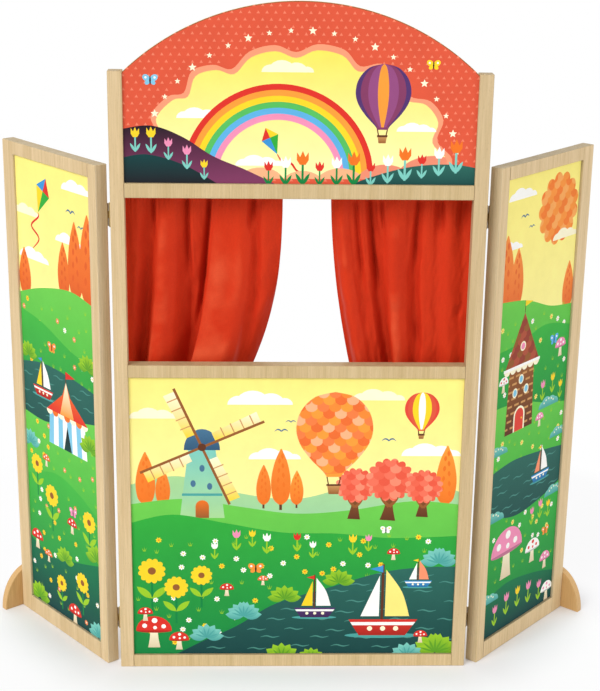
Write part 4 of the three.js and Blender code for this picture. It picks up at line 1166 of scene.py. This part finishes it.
def picture_arch():
    """A coral surround with a cloud-shaped opening onto a rainbow over hills, a kite and a balloon."""
    window = window_arch()
    (left, low), (half, _) = window[:2]
    past = half * 1.02
    pic = Picture(window, (BROWN,), (left, half))
    pic.add(window_arch(ARCH_RIM), CORAL_PALE)
    for row in range(int((max(z for _, z in window) - low) / TRIANGLES_UP)):
        for i in range(-21, 22):
            x, z = (i + 0.5 * (row % 2)) * TRIANGLES_ACROSS, low + 6 + row * TRIANGLES_UP
            if (x / 208) ** 2 + ((z - 940) / 92) ** 2 > 1:
                pic.add([(x - 2.6, z - 2.0), (x + 2.6, z - 2.0), (x, z + 2.4)], (240, 130, 100))
    foot = 838
    opening = [
        (-226, foot), (-236, 872), (-214, 900), (-226, 932), (-200, 962), (-176, 968), (-164, 1000),
        (-132, 1010), (-104, 1004), (-78, 1030), (-40, 1040), (-8, 1030), (24, 1042), (64, 1034),
        (88, 1010), (120, 1014), (154, 996), (164, 966), (196, 958), (216, 930), (208, 898), (232, 870),
        (224, foot)]
    pic.add(spline(opening, 5), (250, 158, 120))
    sky = pic.add(spline([(x * 0.965, foot + (z - foot) * 0.955) for x, z in opening], 5), SKY, SKY_PALE)
    pic.each(cloud, ((-152, 930, 70), (-20, 1000, 78, CREAM), (176, 912, 60)))
    for i in range(26):
        across, up = polar(1, -6 + 192 * i / 25)
        star(pic.pen(242 * across, 846 + 216 * up, 4.6 if i % 3 else 6.5), CREAM)
    for i, colour in enumerate((RED, AMBER, YELLOW, (88, 190, 96), CORNFLOWER, PINK)):
        arc = [polar(142 - 9 * i, angle) for angle in range(0, 181, 15)]
        pic.add(ribbon([(x - 34, z + 836, 4.7) for x, z in arc], 4), colour, within=sky)
    cloud(pic.pen(-62, 858, 72))
    kite(pic.pen(-44, 896, 22, 24), (RED, YELLOW, BLUE, GREEN),
         ((-28, 866, 1.3), (-14, 862, 1.5), (-4, 850, 1.3), (12, 846, 0.3)))
    balloon(pic.pen(124, 972, 42), (PURPLE, PLUM, (150, 78, 128), AMBER))
    for x, z, r in ((-60, 838, 38), (4, 836, 34), (62, 836, 40), (130, 838, 46), (204, 842, 60)):
        pic.add(ellipse(x, z - 10, r, r * 0.72), PEACH if x < 100 else (238, 142, 112), within=sky)
    for knots, colours in (
            ([(-past, 912), (-226, 918), (-180, 902), (-132, 872), (-84, 852), (-30, 826)], (NIGHT, PLUM)),
            ([(-past, 868), (-232, 874), (-176, 858), (-120, 826)], (TEAL_DEEP, NIGHT)),
            ([(60, 822), (110, 842), (170, 858), (232, 862), (past, 856)], (TEAL, TEAL_DEEP))):
        pic.hill(knots, colours, low - 4)
    pic.each(tulip, ((-250, 878, 24, YELLOW), (-226, 876, 26, YELLOW), (-200, 866, 22, PINK),
                     (-172, 852, 24, PINK), (-146, 836, 20, YELLOW)), MINT)
    for i in range(12):
        pen = pic.pen(-48 + 26 * i, low - 2 + max(0, i - 6) * 4, 24 + 5 * (i % 3))
        tulip(pen, (RED, WHITE, ORANGE)[i % 3], GREEN_DEEP if i < 6 else MINT)
    pic.each(butterfly, ((-226, 986, 20, SKY_BLUE), (198, 1012, 18, YELLOW)))
    return pic


def picture_lower(box):
    """A windmill on the left, balloons over an orchard on the right, and a lake in the right foreground."""
    pic = landscape(box, False, 23, ((WHITE,), (YELLOW, ORANGE)), 18)
    low = box[2]
    pic.each(cloud, ((-58, 470, 104), (-228, 446, 80, CREAM), (132, 478, 84, CREAM), (-34, 376, 84),
                     (220, 382, 96)))
    pic.each(bird, ((-24, 424, 17), (-9, 440, 13), (150, 408, 18)))
    pic.hill([330, (-190, 346), (-100, 318), (0, 306), (90, 328), (180, 340), 318], (PALE_GREEN, MINT), low)
    pic.each(poplar, ((-244, 296, (32, 92)), (-216, 296, (24, 64)), (-52, 296, (24, 70)),
                      (-24, 296, (32, 98))), (246, 140, 56), ORANGE)
    pic.each(poplar, ((2, 296, (22, 60)), (246, 296, (34, 104))), AMBER, ORANGE)
    pic.hill([296, (-180, 306), (-90, 292), (0, 280), (90, 286), (190, 302), 296], MEADOW, low)
    pic.each(round_tree, ((98, 330, 31, 276), (154, 340, 38, 274), (210, 328, 30, 280)))
    balloon(pic.pen(62, 430, 62), ((250, 140, 56), AMBER, (240, 112, 52), PEACH, (246, 128, 70)), 19)
    balloon(pic.pen(202, 464, 28), (ROSE, CORAL_PALE, YELLOW, WHITE))
    windmill(pic.pen(-152, 272, 122))
    slope = [262, (-200, 278), (-110, 262), (-20, 246), (70, 244), (160, 236), 240]
    pic.meadow(slope, (GREEN, GREEN_DEEP), low, 40, 240, 118)
    pic.each(tulip, (
        (-96, 214, 24, PINK), (-70, 220, 20, YELLOW), (-46, 208, 24, WHITE), (96, 206, 24, YELLOW),
        (122, 212, 20, PINK), (30, 200, 20, WHITE), (-132, 198, 20, WHITE), (4, 212, 22, RED)), LIME)
    shore = [(-206, low - 6), (-156, 44), (-96, 74), (-30, 116), (60, 146), (140, 172), (206, 182), 184]
    pic.water(shore, low - 6, range(34, 172, 17), -150)
    pic.each(boat, ((206, 150, 40, BLUE, CORAL, WHITE, YELLOW), (34, 96, 60, PURPLE, WHITE, YELLOW, RED),
                    (148, 66, 100, RED, (255, 236, 130), WHITE, BLUE)))
    pic.each(fan, (
        (-146, 52, 58, MINT_LEAVES), (-84, 92, 60, MINT_LEAVES, 8), (-16, 124, 56, LIME_LEAVES),
        (74, 154, 54, LIME_LEAVES), (240, 190, 62, MINT_LEAVES, 8), (240, 24, 78, LIME_LEAVES, 8),
        (192, 16, 58, MINT_LEAVES), (-20, 14, 62, LIME_LEAVES), (30, 12, 46, LIME_LEAVES)))
    pic.each(sunflower, ((-236, 176, 84), (-196, 146, 74), (-154, 168, 66)))
    pic.each(toadstool, ((-234, 34, 60), (-192, 30, 34), (-248, 84, 26), (-112, 130, 24), (214, 42, 24),
                         (-52, 150, 18, (244, 120, 70)), (164, 196, 22)))
    pic.each(butterfly, ((-64, 180, 22, MELON), (150, 250, 16, WHITE, YELLOW)))
    return pic


def picture_left(box):
    """A pond with a boat and a striped tent between terraced hills, with a kite and sunflowers."""
    pic = landscape(box, True, 37, ((WHITE,), (YELLOW, ORANGE), ((250, 140, 90), CREAM)))
    slope = ((70, 182, 68), GREEN_DEEP)
    pic.each(cloud, ((0.82, 800, 84), (0.14, 738, 76, CREAM), (0.7, 712, 76), (0.22, 664, 90)))
    kite(pic.pen(0.36, 778, 33, -24), (BLUE, RED, YELLOW, GREEN),
         ((0.3, 740, 1.5), (0.2, 722, 1.7), (0.3, 704, 1.6), (0.21, 684, 0.6)))
    pic.each(bird, ((0.74, 764, 21), (0.87, 744, 16)))
    pic.each(poplar, ((0.62, 620, (34, 92)), (0.78, 624, (42, 128)), (0.95, 620, (50, 150)),
                      (0.08, 596, (36, 84))), (246, 132, 52), (224, 96, 40))
    pic.meadow([598, (0.3, 620), (0.7, 634), 622], MEADOW, 420, 520, 606, 22)
    pic.meadow([572, (0.3, 560), (0.7, 530), 520], slope, 360, 470, 522, 16)
    pic.water([476, (0.3, 488), (0.7, 484), 474], 320, range(396, 480, 15), box[0])
    boat(pic.pen(0.27, 432, 54), RED, WHITE, YELLOW, BLUE)
    pic.meadow([388, (0.3, 384), (0.6, 404), 424], MEADOW, 180, 270, 380, 30)
    tent(pic.pen(0.6, 350, (116, 122)), (SKY_BLUE, WHITE), (ORANGE, RED))
    pic.meadow([268, (0.4, 296), (0.75, 280), 250], slope, 60, 120, 262, 34)
    pic.each(sunflower, ((0.14, 296, 66), (0.34, 250, 74), (0.86, 240, 70)))
    pic.meadow([150, (0.3, 132), (0.7, 152), 172], SHORE, box[2], 46, 124, 18)
    pic.each(fan, ((0.9, 512, 56), (0.08, 492, 54), (0.9, 372, 60), (0.95, 176, 66), (0.5, 140, 56),
                   (0.1, 36, 66)), LIME_LEAVES)
    pic.each(fan, ((0.06, 330, 56), (0.95, 34, 60)), MINT_LEAVES)
    pic.each(sunflower, ((0.74, 118, 68), (0.44, 92, 56)))
    pic.each(toadstool, ((0.1, 132, 38), (0.26, 118, 24, ORANGE), (0.62, 200, 30), (0.62, 28, 40),
                         (0.28, 300, 24, ORANGE)))
    pic.each(butterfly, ((0.42, 522, 22, (250, 140, 60)), (0.64, 240, 20, PINK)))
    return pic


def picture_right(box):
    """A brown tower halfway down terraced hills, with a sun, a pond, toadstools and rows of tulips."""
    pic = landscape(box, True, 53, (((250, 236, 120), ORANGE), (WHITE,)))
    slope = ((62, 178, 68), GREEN_DEEP)
    scaly_round(pic.pen(0.72, 762, 58), 13, AMBER, 18, [(248, 150, 64), (244, 128, 52), (250, 170, 92)])
    pic.each(cloud, ((0.22, 796, 80), (0.84, 708, 76, CREAM), (0.1, 716, 66)))
    pic.each(bird, ((0.26, 764, 18), (0.36, 744, 14)))
    pic.each(poplar, ((0.05, 610, (48, 132)), (0.2, 616, (38, 100)), (0.93, 580, (34, 84))),
             (250, 150, 70), (232, 110, 50))
    pic.meadow([634, (0.35, 622), (0.7, 596), 586], MEADOW, 420, 540, 590, 18)
    pic.meadow([548, (0.3, 552), (0.65, 566), 548], slope, 380, 440, 544, 26)
    pic.meadow([452, (0.35, 446), (0.7, 424), 408], MEADOW, 260, 340, 412, 24)
    tower(pic.pen(0.34, 396, (84, 206)))
    pic.water([336, (0.3, 344), (0.7, 336), 326], 190, range(246, 336, 15), box[0])
    boat(pic.pen(0.7, 286, 50), BLUE, WHITE, CORAL, YELLOW)
    pic.meadow([262, (0.35, 238), (0.7, 244), 262], slope, 60, 120, 236, 30)
    pic.hill([100, (0.3, 116), (0.7, 104), 84], SHORE, box[2])
    pic.each(bush, ((0.76, 414, 62), (0.08, 366, 56), (0.94, 350, 56), (0.06, 246, 66), (0.93, 240, 60),
                    (0.06, 96, 60)), MINT_LEAVES)
    for colour, rows in (
            (PINK, ((0.66, 430, 24), (0.62, 202, 22), (0.74, 206, 24), (0.16, 46, 26), (0.32, 54, 28),
                    (0.64, 50, 28), (0.8, 42, 26))),
            (YELLOW, ((0.8, 436, 24), (0.92, 420, 22), (0.86, 200, 22), (0.48, 56, 26)))):
        pic.each(tulip, rows, colour, LIME)
    pic.each(toadstool, (
        (0.88, 498, 34, PINK), (0.1, 476, 28, WHITE, RED), (0.64, 384, 26, PINK), (0.28, 128, 96, PINK),
        (0.66, 128, 46, WHITE, RED), (0.86, 100, 34, PINK), (0.92, 32, 38, WHITE, PINK)))
    pic.each(butterfly, ((0.78, 532, 22, CORNFLOWER), (0.84, 174, 20, MELON)))
    return pic


def add_prints():
    """Mounts the four pictures on the faces of their boards."""
    varnish = printed("varnished_print")
    half = POST_INNER / MM
    picture_arch().mount("print_arch", "centre", "arch_board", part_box("arch_panel")[0].y, varnish)
    lower = (-half, half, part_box("bottom_rail")[1].z / MM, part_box("stage_rail")[0].z / MM)
    picture_lower(lower).mount("print_lower", "centre", "printed_board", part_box("lower_panel")[0].y, varnish)
    for label, picture in (("left", picture_left), ("right", picture_right)):
        wing, body = WINGS[label], f"wing_{label}"
        inner, outer, foot, top, panel = (wing.flat_box(f"{body}_{part}") for part in (
            "inner_stile", "outer_stile", "bottom_rail", "top_rail", "panel"))
        first, last = sorted((inner, outer), key=lambda stile: stile[0].x)
        box = (first[1].x / MM, last[0].x / MM, foot[1].z / MM, top[0].z / MM)
        picture(box).mount(f"print_{body}", body, "printed_board", panel[0].y, varnish, wing.to_rest)


def dress_nodes():
    """Gives each CAD node its material: the first one whose word is in the node's name."""
    brass = metal("satin_brass", (196, 172, 118), 0.36, 0.5)
    finishes = (
        ("foot_screw", metal("zinc_steel", (190, 190, 188), 0.34, 0.5)),
        ("hinge", brass),
        ("bracket", brass),
        ("panel", board("board_back")),
        # The wings' side faces get painted light on the left wing and painted shade on the right wing
        ("wing_left", wood("wing_left", WINGS["left"].front, SIDE_PAINTED_LIGHT_LEFT)),
        ("wing_right", wood("wing_right", WINGS["right"].front, SIDE_PAINTED_SHADE_RIGHT)),
        ("post_left", wood("post_left")),
        ("post_right", wood("post_right")),
        ("bottom_rail", wood("bottom_rail")),
        ("curtain_rod", wood("rod")),
        # The rails get the lighter painted shade on their top and bottom faces
        ("", wood("rail", end_painted_shading=LEDGE_PAINTED_SHADE)),
    )
    for name, node in frame["nodes"].items():
        node.data.materials.clear()
        node.data.materials.append(next(finish for word, finish in finishes if word in name))


# Floor, backdrop and light. A lamp has the place it shines from, its strength and its softness in degrees
FLOOR_HALF = 9.0
FLOOR_WHITE = (0.90, 0.905, 0.935, 1)
PLAIN_WHITE = (1, 1, 1, 1)
FADE_START, FADE_END = 0.55, 1.1
BELT_WIDTH = 0.15
BELT_END_SHARE = 0.86
WORLD_WHITE = (0.985, 0.99, 1.0, 1)
WORLD_LIGHT = 0.37
LAMPS = {
    "key": (Vector((-0.60, -0.62, 0.62)), 1.95, 32),
    "fill": (Vector((0.86, -0.46, 0.40)), 0.95, 60),
    "top": (Vector((0.05, 0.60, 1.00)), 0.85, 40),
}


def footprints():
    """The two ends of the line that each frame stands on."""
    yield Vector((-POST_INNER, 0, 0)), Vector((POST_INNER, 0, 0))
    for label, wing in WINGS.items():
        low, high = wing.flat_box(f"wing_{label}_bottom_rail")
        middle = (low.y + high.y) / 2
        yield tuple(wing.to_rest @ Vector((x, middle, 0)) for x in (low.x, high.x))


def make_floor():
    """A white floor that keeps the object's shadow near it and fades to plain white further off."""
    finish = Finish("floor_white", Roughness=1.0, Specular_IOR_Level=0.0, Base_Color=FLOOR_WHITE)
    near, *others = (finish.to_line(finish.place, *ends) for ends in footprints())
    for gap in others:
        near = finish.math("MINIMUM", near, gap)
    belt = finish.spread(near, 0.0, BELT_WIDTH, 0.0, BELT_END_SHARE, interpolation_type="SMOOTHSTEP")
    away = finish.spread(finish.vector("LENGTH", finish.place), FADE_START, FADE_END)
    share = finish.math("MULTIPLY", finish.math("MAXIMUM", belt, away), finish.seen())
    plain = finish.node("Emission", [("Color", PLAIN_WHITE), ("Strength", 1.0)])
    finish.show("Material Output", share, finish.shader.outputs[0], plain)
    points = [(x, y, 0) for x, y in ((-1, -1), (1, -1), (1, 2), (-1, 2))]
    floor = new_mesh("studio_floor", [Vector(p) * FLOOR_HALF for p in points], [(0, 1, 2, 3)])
    add_piece(floor, material=finish.material)


def make_light():
    """An even white surround, a soft key from the upper left, a broad fill from the right and a top light."""
    world = bpy.data.worlds.new("studio")
    bpy.context.scene.world = world
    world.use_nodes = True
    nodes = Nodes(world.node_tree)
    lit = nodes.node("Background", [("Color", WORLD_WHITE), ("Strength", WORLD_LIGHT)])
    nodes.show("World Output", nodes.seen(), lit, nodes.node("Background", [("Color", PLAIN_WHITE)]))
    for name, (source, strength, softness) in LAMPS.items():
        data = bpy.data.lights.new(name, "SUN")
        data.energy = strength
        data.angle = math.radians(softness)
        lamp = bpy.data.objects.new(name, data)
        lamp.rotation_mode = "QUATERNION"
        lamp.rotation_quaternion = source.to_track_quat("Z", "Y")
        bpy.context.scene.collection.objects.link(lamp)


make_camera()
dress_nodes()
foot_ply = plywood("foot_plywood", FOOT_FACE)
for label in SIDES:
    add_curtain(label)
    add_foot(label, foot_ply)
add_prints()
make_floor()
make_light()
bpy.context.scene.view_settings.view_transform = "Standard"
